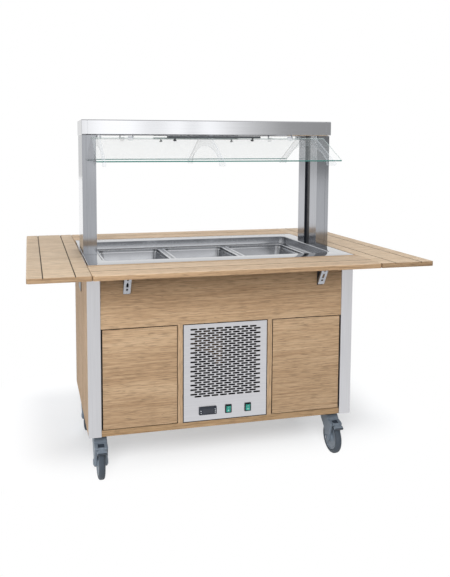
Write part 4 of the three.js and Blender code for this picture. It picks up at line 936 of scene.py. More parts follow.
def makeWell(s):
    low, high = boxOf("well_tub")
    t, bottom, ledge, flangeTop = s["sheet"], low.z, s["ledgeZ"], s["flangeZ"]
    shoulder, wide, lip = s["shoulder"], s["flangeWide"], s["ledgeLip"]

    def wall(grow, z, rounder=0):
        return roundedRing(s["wellX"] + grow, s["wellY"] + grow, s["wellRound"] + rounder, z)

    def basin(grow, z, rounder=0):
        return roundedRing(s["ledgeX"] + grow, s["ledgeY"] + grow, s["ledgeRound"] + rounder, z)

    # up the outside, over the flange, and down the inside
    rings = [basin(-inset, bottom + rise) for inset, rise in s["underside"]]
    rings += [basin(t, bottom + s["basinRise"], t), basin(t, ledge - t, t)]
    rings += [wall(-shoulder, ledge - t, -shoulder), wall(0, ledge + t), wall(0, flangeTop - t)]
    rings += [wall(wide, flangeTop - t, wide), wall(wide, flangeTop, wide), wall(0, flangeTop)]
    rings += [wall(0, high.z), wall(-t, high.z, -t)]
    rings += [wall(-t - inset, ledge + rise, -t) for inset, rise in s["cove"]]
    rings += [basin(lip, ledge), basin(0, ledge - lip)]
    rings += [basin(-inset, bottom + rise) for inset, rise in s["floorCove"]]
    obj = ringPiece("cold_well", rings, [wellSteel], angle=50)
    finish(obj, "cabinet", ["well_tub"])


well = {
    "sheet": 3, "wellX": 523.7, "wellY": 282.7, "wellRound": 29.7, "flangeZ": 929.7, "flangeWide": 17,
    "ledgeX": 492, "ledgeY": 256.5, "ledgeRound": 15, "ledgeZ": 908.7, "ledgeLip": 1.5,
    "shoulder": 6, "basinRise": 12,
    # (step in, rise): under the bottom, where the wall meets the ledge, and inside the basin
    "underside": [(24, 0), (8, 3)],
    "cove": [(0, 9), (1.5, 3), (6, 0)],
    "floorCove": [(0, 18), (4, 8), (16, 3)],
}
makeWell(well)


def makePan(name, s):
    low, high = boxOf(name)
    middle = Vector(((low.x + high.x) / 2, 0, high.z))
    halfX, halfY, deep = (high.x - low.x) / 2, high.y, high.z - low.z
    rim, fillet, lip, shoulder, step = s["rim"], s["fillet"], s["lip"], s["shoulder"], s["step"]
    inner = rim + s["wall"]
    # outside, from the bottom up to the rolled edge of the rim
    profile = [(rim + s["taper"] + fillet * back, s["roundOutside"], fillet * up - deep)
               for back, up in quarterTurn(4)]
    profile += s["roll"]
    # a flat rim with a painted highlight, a rounded lip, and the stacking shoulder inside
    profile += [(inner - lip * back, s["roundLip"] + lip * back, -lip * up) for back, up in quarterTurn(4)]
    profile.append((inner + s["draw"], s["roundLip"], -shoulder))
    profile.append((inner + step, s["roundShoulder"], -shoulder - step))
    profile += [(inner + s["taper"] + fillet * back, s["roundInside"], fillet * up + s["wall"] - deep)
                for back, up in reversed(quarterTurn(4))]
    rings = []
    for inset, corner, z in profile:
        ring = roundedRing(halfX - inset, halfY - inset, corner, z, steps=10)
        rings.append([p + middle for p in ring])
    obj = ringPiece(f"{name}_drawn", rings, [panSteel, rimSteelPaintedHighlight, bandSteelPaintedShade], angle=60)

    # painted highlight on the rim and on the shoulder's upward step, and a painted shade band down to the
    # shoulder
    def panPaintedLightRule(place, normal):
        drop = high.z - place.z
        onStep = shoulder < drop < shoulder + step and normal.z > s["stepFacing"]
        if drop < s["highlightTo"] or onStep:
            return 1
        return 2 if drop < shoulder else 0

    paint(obj, panPaintedLightRule)
    finish(obj, name, [name])


pan = {
    "wall": 2.5, "rim": 10, "taper": 8, "fillet": 15, "lip": 4, "shoulder": 12, "step": 3.6, "draw": 0.4,
    "roundOutside": 28, "roundLip": 26, "roundShoulder": 25, "roundInside": 24,
    # the rim's rolled edge: (step in, corner radius, height)
    "roll": [(10, 28, -2.8), (0.6, 32, -2.8), (0, 32, -2.0), (0.3, 32, -0.6), (1.3, 31, 0)],
    "highlightTo": 2.4, "stepFacing": 0.3,
}
for name in ("pan_left", "pan_centre", "pan_right"):
    makePan(name, pan)


def makePanBar(name, s):
    # two rounded ridges with a shallow channel between them, on a lipped core
    low, high = boxOf(name)
    middle = (low.x + high.x) / 2
    half, ledge, lip, lipY = s["half"], well["ledgeZ"], s["lip"], s["lipY"]
    seat = ledge + s["seat"]

    def section(reach):
        outline = [(-half, seat)]
        for at in (-half / 2, half / 2):
            for k in range(s["arcSteps"] + 1):
                turn = math.pi * (1 - k / s["arcSteps"])
                across = at + s["ridgeHalf"] * math.cos(turn)
                outline.append((across, high.z - s["channel"] * (1 - math.sin(turn))))
        outline.append((half, seat))
        return [Vector((middle + x, reach, z)) for x, z in outline]

    parts = [
        (*loftRings([section(-high.y), section(high.y)]), 0),
        boxPart(middle - lip, middle + lip, -lipY, lipY, ledge - s["lipThick"], ledge),
        boxPart(middle - half, middle + half, -lipY, lipY, ledge, seat),
    ]
    obj = smoothed(joined(f"{name}_pressed", parts, [wellSteel]), 40)
    finish(obj, "cabinet", [name])


panBar = {
    "half": 6.2, "ridgeHalf": 2.945, "channel": 1.8, "arcSteps": 6, "seat": 0.3, "lip": 14.7, "lipY": 256.2,
    "lipThick": 4,
}
for name in ("pan_bar_left", "pan_bar_right"):
    makePanBar(name, panBar)
print("worktop, well and pans made")


# ---- folding shelves and leaves ----
groove = {
    "depth": 2.5, "width": 4.4, "over": 3, "deeper": 0.3, "above": 2, "slant": (0.3, 0.95),
    "brokenEdge": 1.2, "edgeSlant": 0.4,
}


# upright faces of the boards take a darker copy of the oak than the tops: painted shade on the edges
def boardRule(place, normal):
    if place.z < plateBottom - hair / 2:
        return 1
    return 2 if abs(normal.z) < groove["edgeSlant"] else 0


def makeBoard(name, s):
    # edges broken first; then each groove is planed sharp, and its faces take a dark oak as painted shade
    wood, edge = (oakTop, oakShelfEdgePaintedShade) if name.endswith("shelf") else (oakLeaf, oakEdgePaintedShade)
    materials = [wood, zinc, edge, oakGroovePaintedShade]
    obj = paint(copyOf(name, f"{name}_board", materials), boardRule)
    bottom = plateTop - s["depth"]
    least, most = s["slant"]
    lines = {}
    for face in obj.data.polygons:
        points = [obj.data.vertices[k].co / mm for k in face.vertices]
        lowest = [p for p in points if abs(p.z - bottom) < hair]
        if least < face.normal.z < most and len(lowest) > 1:
            axis = 0 if abs(face.normal.x) > abs(face.normal.y) else 1
            ends = sorted(p[1 - axis] for p in lowest)
            lines[axis, round(lowest[0][axis], 1)] = (ends[0] - s["over"], ends[-1] + s["over"])
    bevelled(obj, s["brokenEdge"], 3)
    for (axis, middle), ends in lines.items():
        across = (middle - s["width"] / 2, middle + s["width"] / 2)
        spans = (*across, *ends) if axis == 0 else (*ends, *across)
        cutter = boxPart(*spans, bottom - s["deeper"], plateTop + s["above"], 3)
        carve(obj, joined("cutter", [cutter], materials))
    finish(obj, nodes[name]["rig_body"], [name])
    print(name, len(lines), "grooves")


for name in ("front_shelf", "rear_shelf", "left_leaf", "right_leaf"):
    makeBoard(name, groove)


def makeStay(name, sign, s):
    # a folded channel with an adjusting slot and a bolt hole, its inside painted in the dark zinc as painted
    # shade
    facing = Matrix.Rotation(0 if sign < 0 else math.pi, 4, "Z")
    tilt = Matrix.Rotation(math.radians(s["angle"]), 4, "X")
    place = Matrix.Translation(anchorOf(f"{name}_pivot")) @ facing @ tilt
    obj = copyOf(name, f"{name}_channel", [zinc, zincPaintedShade])
    top, bottom = s["slot"]
    w, r, face, before = s["slotHalf"], s["holeRadius"], s["faceY"], s["before"]
    through = s["sheet"] + s["over"]
    slot = boxPart(-w, w, face - before, face + through, -bottom, -top, 0, place)
    onHole = place @ Matrix.Translation((0, face, -s["hole"])) @ xToY
    hole = turnedPart([(-before, r), (through, r)], onHole, 20)
    for cutter in (slot, hole):
        carve(obj, joined("cutter", [cutter], []))
    rematerial(obj, [zinc, zincPaintedShade])
    inverse = place.inverted()

    # faces inside the channel: painted shade
    def innerRule(point, normal):
        local = inverse @ point
        behind = local.y > face + s["sheet"] - hair
        return 1 if behind and abs(local.x) < s["halfWidth"] - s["sheet"] + hair else 0

    paint(obj, innerRule)
    bevelled(obj, s["brokenEdge"])
    finish(obj, nodes[name]["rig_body"], [name])


stay = {
    "angle": 30.2, "halfWidth": 15, "faceY": -5, "sheet": 1.6, "slot": (50, 68), "slotHalf": 4.8,
    "hole": 82, "holeRadius": 5, "before": 2, "over": 1.2, "brokenEdge": 0.35,
}
for side, sign in (("front", -1), ("rear", 1)):
    for hand in ("left", "right"):
        makeStay(f"{side}_{hand}_stay", sign, stay)
for side in ("left", "right"):
    dressed(f"{side}_leaf_stay", [zinc], bevel=stay["brokenEdge"])


def makeFlanges(body, places, out, sideways, s):
    # the screwed-on foot of each bracket, flat under the board
    axes = Matrix(((*out, 0), (*sideways, 0), (0, 0, 1, 0), (0, 0, 0, 1))).transposed()
    wide, thick, aside = s["halfWidth"], s["sheet"], s["screwAside"]
    parts, points = [], []
    for place in places:
        foot = Matrix.Translation(place) @ axes
        parts.append(boxPart(s["setIn"], s["reach"], -wide, wide, -thick, 0, 0, foot))
        points += [foot @ Vector((x, y, -thick)) for x in s["screwAlong"] for y in (-aside, aside)]
    finish(bevelled(joined(f"{body}_bracket_feet", parts, [zinc]), s["brokenEdge"]), body)
    screws(f"{body}_bracket_screws", points, (0, 0, -1), body, "zinc_steel", *s["screwHead"])


flange = {
    "sheet": 1.6, "halfWidth": 14, "reach": 74, "setIn": 4, "screwAlong": (30, 62), "screwAside": 8,
    "screwHead": (3.2, 1.4), "brokenEdge": 0.4, "leafPlaces": (-230, 200),
}
for side, sign in (("front", -1), ("rear", 1)):
    hinge = anchorOf(f"{side}_shelf_fold")
    places = [Vector((x, hinge.y, plateBottom)) for x in (-stayX, stayX)]
    makeFlanges(f"{side}_shelf", places, (0, sign, 0), (-sign, 0, 0), flange)
for side, sign in (("left", -1), ("right", 1)):
    hinge = anchorOf(f"{side}_leaf_fold")
    places = [Vector((hinge.x, y, plateBottom)) for y in flange["leafPlaces"]]
    makeFlanges(f"{side}_leaf", places, (sign, 0, 0), (0, sign, 0), flange)
print("shelves, leaves and stays dressed")


# ---- gantry ----
pillar = {"recess": 8, "recessOver": 0.5, "recessHalf": 30.2, "frontFacing": 0.7}


# front and back faces take a darker copy of the steel than the sides: painted shade on the fronts
def pillarRule(place, normal):
    floor = boxOf("right_pillar")[0].x + pillar["recess"] + pillar["recessOver"]
    if abs(place.y) < pillar["recessHalf"] and abs(place.x) < floor:
        return 2
    return 0 if abs(normal.y) > pillar["frontFacing"] else 1


for side in ("left", "right"):
    dressed(f"{side}_pillar", [steelPillarFrontPaintedShade, steelPillarSide, blackAbs],
            bevel=1.0, segments=3, rule=pillarRule)

lamp = {
    "halfLength": 491, "radius": 8.2, "over": 0.3, "socketHalf": 12.2, "tray": (2.5, 30), "hingeFrom": 116,
}


def canopyRule(place, normal):
    height = place.z - boxOf("left_pillar")[1].z
    least, most = lamp["tray"]
    if not least <= height <= most or abs(place.y) > lamp["socketHalf"]:
        return 3 if height < 2 * hair and abs(place.y) > lamp["hingeFrom"] else 0
    onTube = abs(place.x) < lamp["halfLength"] and abs(place.y) < lamp["radius"] + lamp["over"]
    return 1 if onTube else 2


dressed("canopy", [steelCanopy, opal, whitePrint, zinc], bevel=1.2, segments=3, rule=canopyRule)
pane = {
    "slope": (0, 102, 194), "knuckleX": 380, "knuckleHalf": 10.5, "knuckleDrop": 16,
    # how far a normal may be off for a face to be the pane's own, its lower edge or a side
    "faceWithin": 0.02, "lowerFrom": 0.2, "sideWithin": 0.1,
}
paneSlope = Vector(pane["slope"]).normalized()


def paneRule(place, normal):
    aside = abs(abs(place.x) - pane["knuckleX"])
    if aside < pane["knuckleHalf"] and place.z > boxOf("front_glass")[1].z - pane["knuckleDrop"]:
        return 2
    if abs(abs(normal.z) - paneSlope.z) < pane["faceWithin"]:
        return 0
    return 1 if normal.z < -pane["lowerFrom"] and abs(normal.x) < pane["sideWithin"] else 3


for side in ("front", "rear"):
    sheets = [paneGlass, paneEdge, acrylicEdge, paneSideEdge]
    dressed(f"{side}_glass", sheets, bevel=0.5, rule=paneRule)


def makeHandle(side, sign, s):
    low, high = boxOf(f"{side}_glass_handle")
    inset = s["barRadius"] - s["proud"]
    y, z = sign * (max(abs(low.y), abs(high.y)) - inset), high.z - inset
    parts = [rodPart((low.x, y, z), (high.x, y, z), s["barRadius"])]
    down = Vector((0, -sign * paneSlope.y, -paneSlope.z))
    for x in (-s["legX"], s["legX"]):
        top = Vector((x, y, z))
        foot = top + down * s["legLength"]
        parts.append(rodPart(top, foot, s["legRadius"], sides=16, rounding=0.1))
        parts.append(rodPart(foot - down * s["washerThick"], foot, s["washer"], sides=24, rounding=0.12))
    obj = smoothed(joined(f"{side}_glass_rail", parts, [steelHandle]), 40)
    finish(obj, f"{side}_guard", [f"{side}_glass_handle"])


handle = {
    "barRadius": 4.6, "proud": 0.1, "legRadius": 3.6, "legX": 183, "legLength": 17.4, "washer": 8,
    "washerThick": 2.2,
}
makeHandle("front", -1, handle)
makeHandle("rear", 1, handle)


def makeClamps(side, s):
    # a steel block on each face of a clear support, near both of its ends
    low, high = boxOf(f"glass_support_{side}")
    ends = (-s["plateY"], s["plateY"])
    blocks, screwPlaces = [], {}
    for sign, hand, face in ((-1, "near", low.x), (1, "far", high.x)):
        inner = face + sign * s["gap"]
        outer = inner + sign * s["thick"]
        for y in ends:
            blocks.append(boxPart(min(inner, outer), max(inner, outer), y - s["halfLength"],
                                  y + s["halfLength"], high.z - s["drop"], high.z))
        screwPlaces[sign, hand] = [(outer, y, high.z - s["drop"] / 2) for y in ends]
    clamps = bevelled(joined(f"support_clamps_{side}", blocks, [screwSteel]), s["brokenEdge"])
    finish(clamps, "cabinet")
    for (sign, hand), places in screwPlaces.items():
        name = f"support_screws_{side}_{hand}"
        screws(name, places, (sign, 0, 0), "cabinet", "stainless", *s["screwHead"])


clamp = {
    "plateY": 98, "halfLength": 13, "drop": 15, "thick": 5, "gap": 0.2, "screwHead": (4, 2),
    "brokenEdge": 0.8,
}
for side in ("left", "centre", "right"):
    dressed(f"glass_support_{side}", [acrylic, acrylicEdge], bevel=0.5,
            rule=lambda place, normal: 0 if abs(normal.x) > square else 1)
    makeClamps(side, clamp)
print("gantry dressed")


# ---- cooling bay ----
grilleLow, grilleHigh = boxOf("grille_panel")
switchPlaces = [anchorOf("cooling_rocker"), anchorOf("light_rocker")]
thermostatLow, thermostatHigh = boxOf("thermostat")
thermostatX = (thermostatLow.x + thermostatHigh.x) / 2
controlZ = (thermostatLow.z + thermostatHigh.z) / 2
tiny = 1e-6  # stands in for nought where something is divided by it


def makeGrille(s):
    # drawn flat, with X across and Y up, then stood up behind the front face
    halfX = grilleHigh.x - s["railWidth"]
    bottom, top = grilleLow.z + s["railStep"], grilleHigh.z
    back = grilleLow.y + s["bezelProud"] + s["sheet"]
    loops = [(0, (bottom + top) / 2, halfX, (top - bottom) / 2)]
    loops.append((thermostatX, controlZ, *s["thermostatHalf"]))
    loops += [(p.x, controlZ, *s["rockerHalf"]) for p in switchPlaces]
    verts, edges = [], []
    for x, z, a, b in loops:
        start = len(verts)
        verts += [Vector((x + i * a, z + j * b, 0)) * mm for i, j in ((-1, -1), (1, -1), (1, 1), (-1, 1))]
        edges += [(start + k, start + (k + 1) % 4) for k in range(4)]
    obj = newPiece("grille_sheet", [], [], [])
    obj.data.from_pydata(verts, edges, [])
    middle = top - s["topMargin"] - (s["rows"] - 1) * s["pitchDown"] / 2
    grown(obj, sheetTree, {
        "Thickness": s["sheet"] * mm, "Slot Length": s["slotLength"] * mm,
        "Slot Height": s["slotHeight"] * mm, "Slot Round": s["slotRound"] * mm,
        "Pitch Across": s["pitchAcross"] * mm, "Pitch Down": s["pitchDown"] * mm,
        "Columns": s["columns"], "Rows": s["rows"],
        "Field Middle": (0.0, middle * mm, 0.0), "Material": steelGrille,
    })
    obj.data.transform(Matrix.Translation((0, back * mm, 0)) @ Matrix.Rotation(math.radians(90), 4, "X"))
    tidyNormals(obj)
    bevelled(obj, s["brokenEdge"], 1)
    finish(obj, "cabinet", ["grille_panel"])
    # the rails are black, so the gaps at the sheet's sides and foot read as dark lines: painted shade
    outer, inner, low, deep = grilleHigh.x, halfX - s["rail"], grilleLow.z, back + s["rail"]
    rails = [
        boxPart(-outer, -inner, back, deep, low, top),
        boxPart(inner, outer, back, deep, low, top),
        boxPart(-outer, outer, back + 2 * hair, deep, low, bottom + s["rail"]),
    ]
    finish(bevelled(joined("grille_rails", rails, [blackCoat]), s["railEdge"]), "cabinet")


grille = {
    "railWidth": 3.6, "railStep": 4.2, "rail": 12, "bezelProud": 2.5, "sheet": 1.5, "topMargin": 22,
    "slotLength": 31, "slotHeight": 7.0, "slotRound": 3.0, "pitchAcross": 38.5, "pitchDown": 10.3,
    "columns": 8, "rows": 30, "thermostatHalf": (35.5, 13.5), "rockerHalf": (10.4, 15.4),
    "brokenEdge": 0.35, "railEdge": 0.5,
}
makeGrille(grille)


def makeBezel(name, place, s):
    rings = []
    for (halfX, halfZ), rows in ((s["half"], s["outside"]), (grille["rockerHalf"], s["opening"])):
        for grow, corner, behind in rows:
            flat = roundedRing(halfX + grow, halfZ + grow, corner, 0, 4)
            rings.append([Vector((place.x + p.x, grilleLow.y + behind, controlZ + p.y)) for p in flat])
    obj = ringPiece(f"{name}_switch_bezel", rings, [blackAbs], closed=True)
    finish(obj, "cabinet")


bezel = {
    "half": (15.5, 19.5),
    # (grown by, corner radius, how far behind the bezel's face)
    "outside": [(0, 3, 2.5), (0, 3, 1), (-0.4, 2.7, 0.3), (-1.1, 2.2, 0)],
    "opening": [(0.8, 1.2, 0), (0, 0.8, 0.8), (0, 0.8, 10.5), (1.5, 1, 10.5), (1.5, 1, 2.5)],
}
makeBezel("cooling", switchPlaces[0], bezel)
makeBezel("light", switchPlaces[1], bezel)


def makeThermostat(s):
    middle, front = (thermostatX, controlZ), thermostatLow.y
    half = (thermostatHigh - thermostatLow) / 2
    face, sunk = front + s["proud"], front + s["sunk"]
    boxX, boxZ = half.x - s["inset"], half.z - s["inset"]
    parts = [
        platePart((half.x, half.z), s["round"], front, face, s["edge"], middle),
        boxPart(thermostatX - boxX, thermostatX + boxX, face, thermostatHigh.y,
                controlZ - boxZ, controlZ + boxZ),
        platePart(s["windowHalf"], s["windowRound"], front - s["windowProud"], sunk,
                  s["windowEdge"], middle, 1),
    ]
    for x, z in s["marks"]:
        place = Matrix.Translation((thermostatX + x, front - s["markAhead"], controlZ + z)) @ xToY
        mark = [(0, s["markRadius"]), (-s["markThick"], s["markRadius"])]
        parts.append(turnedPart(mark, place, 20, 2))
    for x in s["keys"]:
        key = (thermostatX + x, controlZ - half.z + s["keyRise"])
        parts.append(platePart(s["keyHalf"], s["keyRound"], front - s["keyProud"], sunk, s["keyEdge"], key))
    obj = smoothed(joined("temperature_controller", parts, [navyAbs, navyPolycarbonate, whitePrint]), 35)
    finish(obj, "cabinet", ["thermostat"])


thermostat = {
    "proud": 5, "inset": 4.8, "round": 3.5, "edge": 1.6, "sunk": 1,
    "windowHalf": (25, 10), "windowRound": 1.5, "windowProud": 0.4, "windowEdge": 0.3,
    "marks": [(-32, 1), (-32, -8), (32, 6), (32, -1), (32, -8)],
    "markRadius": 1.9, "markAhead": 0.35, "markThick": 0.8,
    "keys": (-8, 8), "keyHalf": (5.5, 1.9), "keyRound": 1.2, "keyProud": 0.7, "keyEdge": 0.5, "keyRise": 3.6,
}
makeThermostat(thermostat)


def makeRocker(name, s):
    obj = dressed(name, [rockerGreen], segments=3)
    faces = [face.vertices for face in obj.data.polygons]
    surface = BVHTree.FromPolygons([v.co for v in obj.data.vertices], faces)
    low, high = boxOf(name)
    middle = (low + high) / 2
    (across, up), (outer, inner), sunk, proud = s["barHalf"], s["ringRadii"], -s["sunk"], s["proud"]

    def onFace(rise):
        start = Vector((middle.x, low.y - s["before"], middle.z + rise)) * mm
        place, normal, _, _ = surface.ray_cast(start, Vector((0, 1, 0)))
        return Matrix.Translation(place / mm) @ normal.to_track_quat("Z", "Y").to_matrix().to_4x4()

    below = onFace(-s["markRise"])
    turns = [2 * math.pi * k / s["ringSides"] for k in range(s["ringSides"])]
    rings = [[below @ Vector((radius * math.cos(t), radius * math.sin(t), z)) for t in turns]
             for radius, z in ((outer, sunk), (outer, proud), (inner, proud), (inner, sunk))]
    parts = [
        boxPart(-across, across, -up, up, sunk, proud, 0, onFace(s["markRise"])),
        (*loftRings(rings, True), 0),
    ]
    finish(joined(f"{name}_marks", parts, [whitePrint]), name)


rocker = {
    "markRise": 6.5, "barHalf": (0.6, 2.6), "ringRadii": (3, 1.9), "ringSides": 20, "sunk": 0.2,
    "proud": 0.15, "before": 20,
}
for name in ("cooling_switch", "light_switch"):
    makeRocker(name, rocker)


def makeCondenser(s):
    low, high = boxOf("condenser")
    t, bottom, top, y0, y1 = s["plate"], low.z, high.z, low.y, low.y + s["depth"]
    middleY, middleZ = (y0 + y1) / 2, (bottom + top) / 2
    finSize = (s["finThick"], s["depth"] - s["finInset"], top - bottom - 2 * t - s["finGap"])
    fins = newPiece("condenser_fins", [], [], [])
    grown(fins, platesTree, {
        "Count": int((high.x - low.x - 2 * t) / s["finPitch"]),
        "First Place": tuple(v * mm for v in (low.x + t + s["finPitch"], middleY, middleZ)),
        "Step": (s["finPitch"] * mm, 0.0, 0.0),
        "Fin Size": tuple(v * mm for v in finSize), "Material": finMetalPaintedShade,
    })
    finish(fins, "cabinet", ["condenser"])
    stand, inside = s["stand"] / 2, y1 - s["shroud"]
    parts = [
        boxPart(low.x, high.x, y0, high.y, bottom, bottom + t),
        boxPart(low.x, high.x, y0, high.y, top - t, top),
        boxPart(low.x, low.x + t, y0, y1, bottom + t, top - t),
        boxPart(high.x - t, high.x, y0, y1, bottom + t, top - t),
        boxPart(-stand, stand, high.y - s["standThick"], high.y, bottom, top, 1),
    ]
    outline, window = [], []
    for k in range(s["windowSides"]):
        angle = 2 * math.pi * k / s["windowSides"]
        c, d = math.cos(angle), math.sin(angle)
        reach = min(high.x / max(abs(c), tiny), (top - bottom) / 2 / max(abs(d), tiny))
        outline.append((reach * c, middleZ + reach * d))
        window.append((s["window"] * c, middleZ + s["window"] * d))
    rings = [[Vector((x, y, z)) for x, z in loop]
             for loop, y in ((outline, inside), (outline, y1), (window, y1), (window, inside))]
    parts.append((*loftRings(rings, True), 1))
    alongY = Matrix.Translation((0, 0, middleZ)) @ xToY
    fanLow, fanHigh = boxOf("fan")
    motor = [(fanHigh.y + s["motorGap"], s["motor"]), (high.y - s["motorInset"], s["motor"])]
    shaft = [(fanLow.y - s["shaftOver"], s["shaft"]), (fanHigh.y + s["shaftOver"], s["shaft"])]
    parts += [turnedPart(motor, alongY, 32, 1), turnedPart(shaft, alongY, 16, 1)]
    tube = [(low.x + s["tubeInset"], s["tube"]), (high.x - s["tubeInset"], s["tube"])]
    for row in range(s["tubeRows"]):
        z = bottom + (row + 0.5) * (top - bottom) / s["tubeRows"]
        parts.append(turnedPart(tube, Matrix.Translation((0, middleY, z)), 12))
    obj = smoothed(joined("condenser_housing", parts, [finMetalPaintedShade, blackCoat]), 35)
    finish(obj, "cabinet")


condenser = {
    "plate": 5, "depth": 40, "finPitch": 3.0, "finThick": 0.5, "finInset": 4, "finGap": 1, "shroud": 3,
    "stand": 18, "standThick": 6, "window": 89, "windowSides": 48,
    "motor": 24, "motorGap": 2, "motorInset": 5, "shaft": 3.5, "shaftOver": 3,
    "tubeRows": 8, "tube": 4, "tubeInset": 1,
}
makeCondenser(condenser)
dressed("fan", [blackAbs], bevel=0.3, segments=1)
dressed("compressor", [blackCoat], bevel=2.0, segments=3)
print("cooling bay made")


# ---- castors ----
def castorFrame(corner):
    # the castor's own place, and where its axle and its pedal's pin are from there
    axis = joints[f"{corner}_wheel_spin"]["axis"]
    swivel = anchorOf(f"{corner}_castor_swivel")
    turn = Matrix.Rotation(math.atan2(axis[1], axis[0]), 4, "Z")
    place = Matrix.Translation((swivel.x, swivel.y, 0)) @ turn
    inverse = place.inverted()
    return place, inverse @ anchorOf(f"{corner}_wheel_spin"), inverse @ anchorOf(f"{corner}_pedal_press")


def bend(start, control, end, steps=6):
    points = []
    for k in range(steps):
        t = k / steps
        points.append(tuple((1 - t) ** 2 * a + 2 * t * (1 - t) * b + t * t * c
                            for a, b, c in zip(start, control, end)))
    return points


def makeFork(corner, s):
    place, axle, pin = castorFrame(corner)
    onAxle, onPin = place @ Matrix.Translation(axle), place @ Matrix.Translation(pin)
    head, hood, boss, half, barrel = s["headHalf"], s["hood"], s["boss"], s["half"], s["barrel"]

    def around(radius, degrees):
        turn = math.radians(degrees)
        return axle.y + radius * math.cos(turn), axle.z + radius * math.sin(turn)

    front, rear, hip = ((axle.y + y, axle.z + z) for y, z in (s["frontWaist"], s["rearWaist"], s["hip"]))
    outline = [(head, s["top"]), (-head, s["top"])]
    outline += [around(hood, angle) for angle in range(*s["hoodArc"])]
    outline += bend(around(hood, s["hoodEnd"]), front, around(boss, 180))
    outline += [around(boss, angle) for angle in range(180, 360, s["bossStep"])]
    outline += bend(around(boss, 360), rear, hip)
    outline += bend(hip, (head - s["neckIn"], axle.z + s["neckLow"]), (head, axle.z + s["neckHigh"]), 4)
    rings = [[place @ Vector((x, y, z)) for y, z in outline] for x in (-half, half)]
    body = joined(f"{corner}_fork_hood", [(*loftRings(rings), 0)], [castorGrey, castorDark])
    bevelled(body, s["edge"], 3, 50)
    a, b, deep = s["windowSize"]
    onHood = onAxle @ Matrix.Rotation(math.radians(s["windowAngle"] - 90), 4, "X")
    for cutter in (
            rodAcross(onAxle, s["pocketHalf"], s["pocket"], 72),
            rodAcross(onPin, s["earIn"], barrel + s["barrelRoom"], 24),
            boxPart(-a / 2, a / 2, -b / 2, b / 2, hood - deep, hood + s["windowOver"], 0, onHood)):
        carve(body, joined("cutter", [cutter], []))
    rematerial(body, [castorGrey, castorDark])
    inverse = onHood.inverted()
    least, most = s["windowFloor"]

    def hoodRule(point, normal):
        local = inverse @ point
        inWindow = abs(local.x) < a / 2 + hair and abs(local.y) < b / 2 + hair
        return 1 if inWindow and least < local.z - hood + deep < most else 0

    paint(body, hoodRule)
    bevelled(body, s["carvedEdge"], 1)
    parts = []
    for side in (-1, 1):
        ear = [(side * x, barrel + s["earWall"]) for x in (s["earIn"], s["earOut"])]
        parts.append(turnedPart(ear, onPin, 24))
        parts.append(turnedPart([(side * (half + x), r) for x, r in s["cap"]], onAxle, 32))
        parts.append(turnedPart([(side * (half + x), r) for x, r in s["bolt"]], onAxle, 6, 1))
    parts.append(rodAcross(onPin, s["earOut"], s["pin"], 16, 1))
    parts.append(rodAcross(onAxle, half, s["axle"], 16, 1))
    fittings = smoothed(joined(f"{corner}_fork_fittings", parts, [castorGrey, zinc]), 35)
    finish(body, f"{corner}_castor", [f"{corner}_castor_fork"])
    finish(fittings, f"{corner}_castor")


fork = {
    "top": 177.7, "headHalf": 34, "hood": 86, "boss": 20, "half": 29, "edge": 4, "carvedEdge": 0.5,
    "pocket": 80, "pocketHalf": 18.5, "hoodArc": (94, 118, 4), "hoodEnd": 119, "bossStep": 15,
    # (behind, above) the axle
    "frontWaist": (-27, 42), "rearWaist": (27, 38), "hip": (60, 62),
    "neckIn": 2, "neckLow": 74, "neckHigh": 92,
    "earIn": 14.6, "earOut": 20, "earWall": 2, "barrel": 6, "barrelRoom": 2.5, "pin": 3, "axle": 6,
    "windowAngle": 106, "windowSize": (28, 25, 4), "windowOver": 12, "windowFloor": (-1, 0.3),
    # (out from the fork's side, radius)
    "cap": [(-1, 14), (1.8, 14), (3, 12.8), (3, 9.5), (1.2, 9), (1.2, 6.5)],
    "bolt": [(1, 6), (3.4, 6)],
}


def makeWheel(corner, s):
    place, axle, _ = castorFrame(corner)
    for kind, material, slotName, replaced in (
            ("tyre", treadGrey, "wheel_tread", [f"{corner}_castor_wheel"]),
            ("hub", castorGrey, "castor_grey", [])):
        profile = [(-w, r) for r, w in s[kind]] + [(w, r) for r, w in reversed(s[kind])]
        rings = turnedRings(profile, place @ Matrix.Translation(axle), 64)
        obj = ringPiece(f"{corner}_wheel_{kind}", rings, [material], closed=True, angle=38)
        finish(obj, f"{corner}_wheel", replaced)


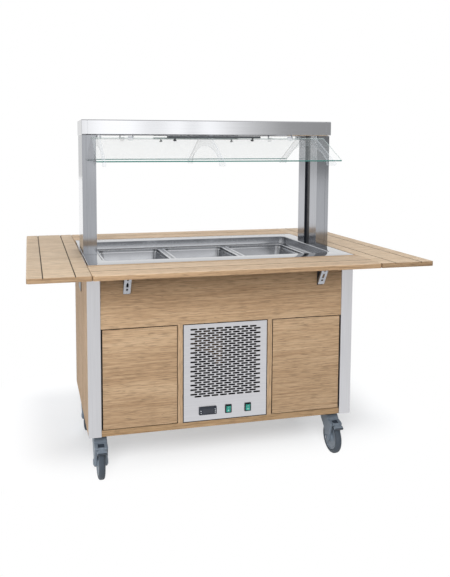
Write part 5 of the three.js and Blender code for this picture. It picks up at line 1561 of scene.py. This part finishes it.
wheel = {
    # (radius, half width) from the inside out
    "hub": [(6.6, 17.4), (19, 17.4), (20.5, 16.4), (22.5, 11.5), (25, 10.4), (48, 10.4), (50, 11.2),
            (52, 13), (54.5, 13.6), (56.5, 13.2), (57.4, 12.2), (58.2, 11)],
    "tyre": [(58.2, 11.6), (59, 13.4), (61, 14.2), (65, 14.1), (69, 13.0), (72.4, 10.8), (74.4, 7.4),
             (75, 3)],
}


def makePedal(corner, s):
    place, _, pin = castorFrame(corner)
    tipY, tipZ = s["tip"]
    onPin = place @ Matrix.Translation(pin) @ Matrix.Rotation(math.atan2(-tipZ, -tipY), 4, "X")
    end, thick, inset = -math.hypot(tipY, tipZ), s["thick"] / 2, s["inset"]
    w, arm = s["padHalf"], s["armHalf"]
    barHalf, (barLow, barHigh) = w - s["barInset"], s["barRise"]
    pad = [
        boxPart(-w, w, end + inset, -s["root"], -thick, thick, 0, onPin),
        boxPart(-arm, arm, end + s["armFrom"], s["armPast"], inset - thick, thick - inset, 0, onPin),
        boxPart(-barHalf, barHalf, end - s["bar"], end + s["barOver"],
                barLow - thick, barHigh + thick, 1, onPin),
    ]
    obj = joined(f"{corner}_pedal_moulding", pad, [castorGrey, castorDark])
    bevelled(obj, s["edge"], 3)
    rod = rodAcross(onPin, arm, s["barrel"], 24)
    barrel = smoothed(joined(f"{corner}_pedal_barrel", [rod], [castorGrey]), 35)
    finish(obj, f"{corner}_pedal", [f"{corner}_castor_pedal"])
    finish(barrel, f"{corner}_pedal")


pedal = {
    "tip": (-24.3, -11.9), "thick": 9, "padHalf": 21, "root": 13, "inset": 0.4, "edge": 1.6,
    "armHalf": 13.4, "armFrom": 2, "armPast": 3, "barrel": 6,
    "bar": 4.4, "barInset": 0.6, "barOver": 0.8, "barRise": (0.2, 0.5),
}
for corner in cornerNames:
    makeFork(corner, fork)
    makeWheel(corner, wheel)
    makePedal(corner, pedal)
castorPlate = {"screwX": 41, "screwY": 33, "under": 184, "screwHead": (5, 3)}
swivels = [anchorOf(f"{corner}_castor_swivel") for corner in cornerNames]
places = [(p.x + i * castorPlate["screwX"], p.y + j * castorPlate["screwY"], castorPlate["under"])
          for p in swivels for i in (-1, 1) for j in (-1, 1)]
screws("castor_plate_screws", places, (0, 0, -1), "cabinet", "zinc_steel", *castorPlate["screwHead"])
print("castors made")
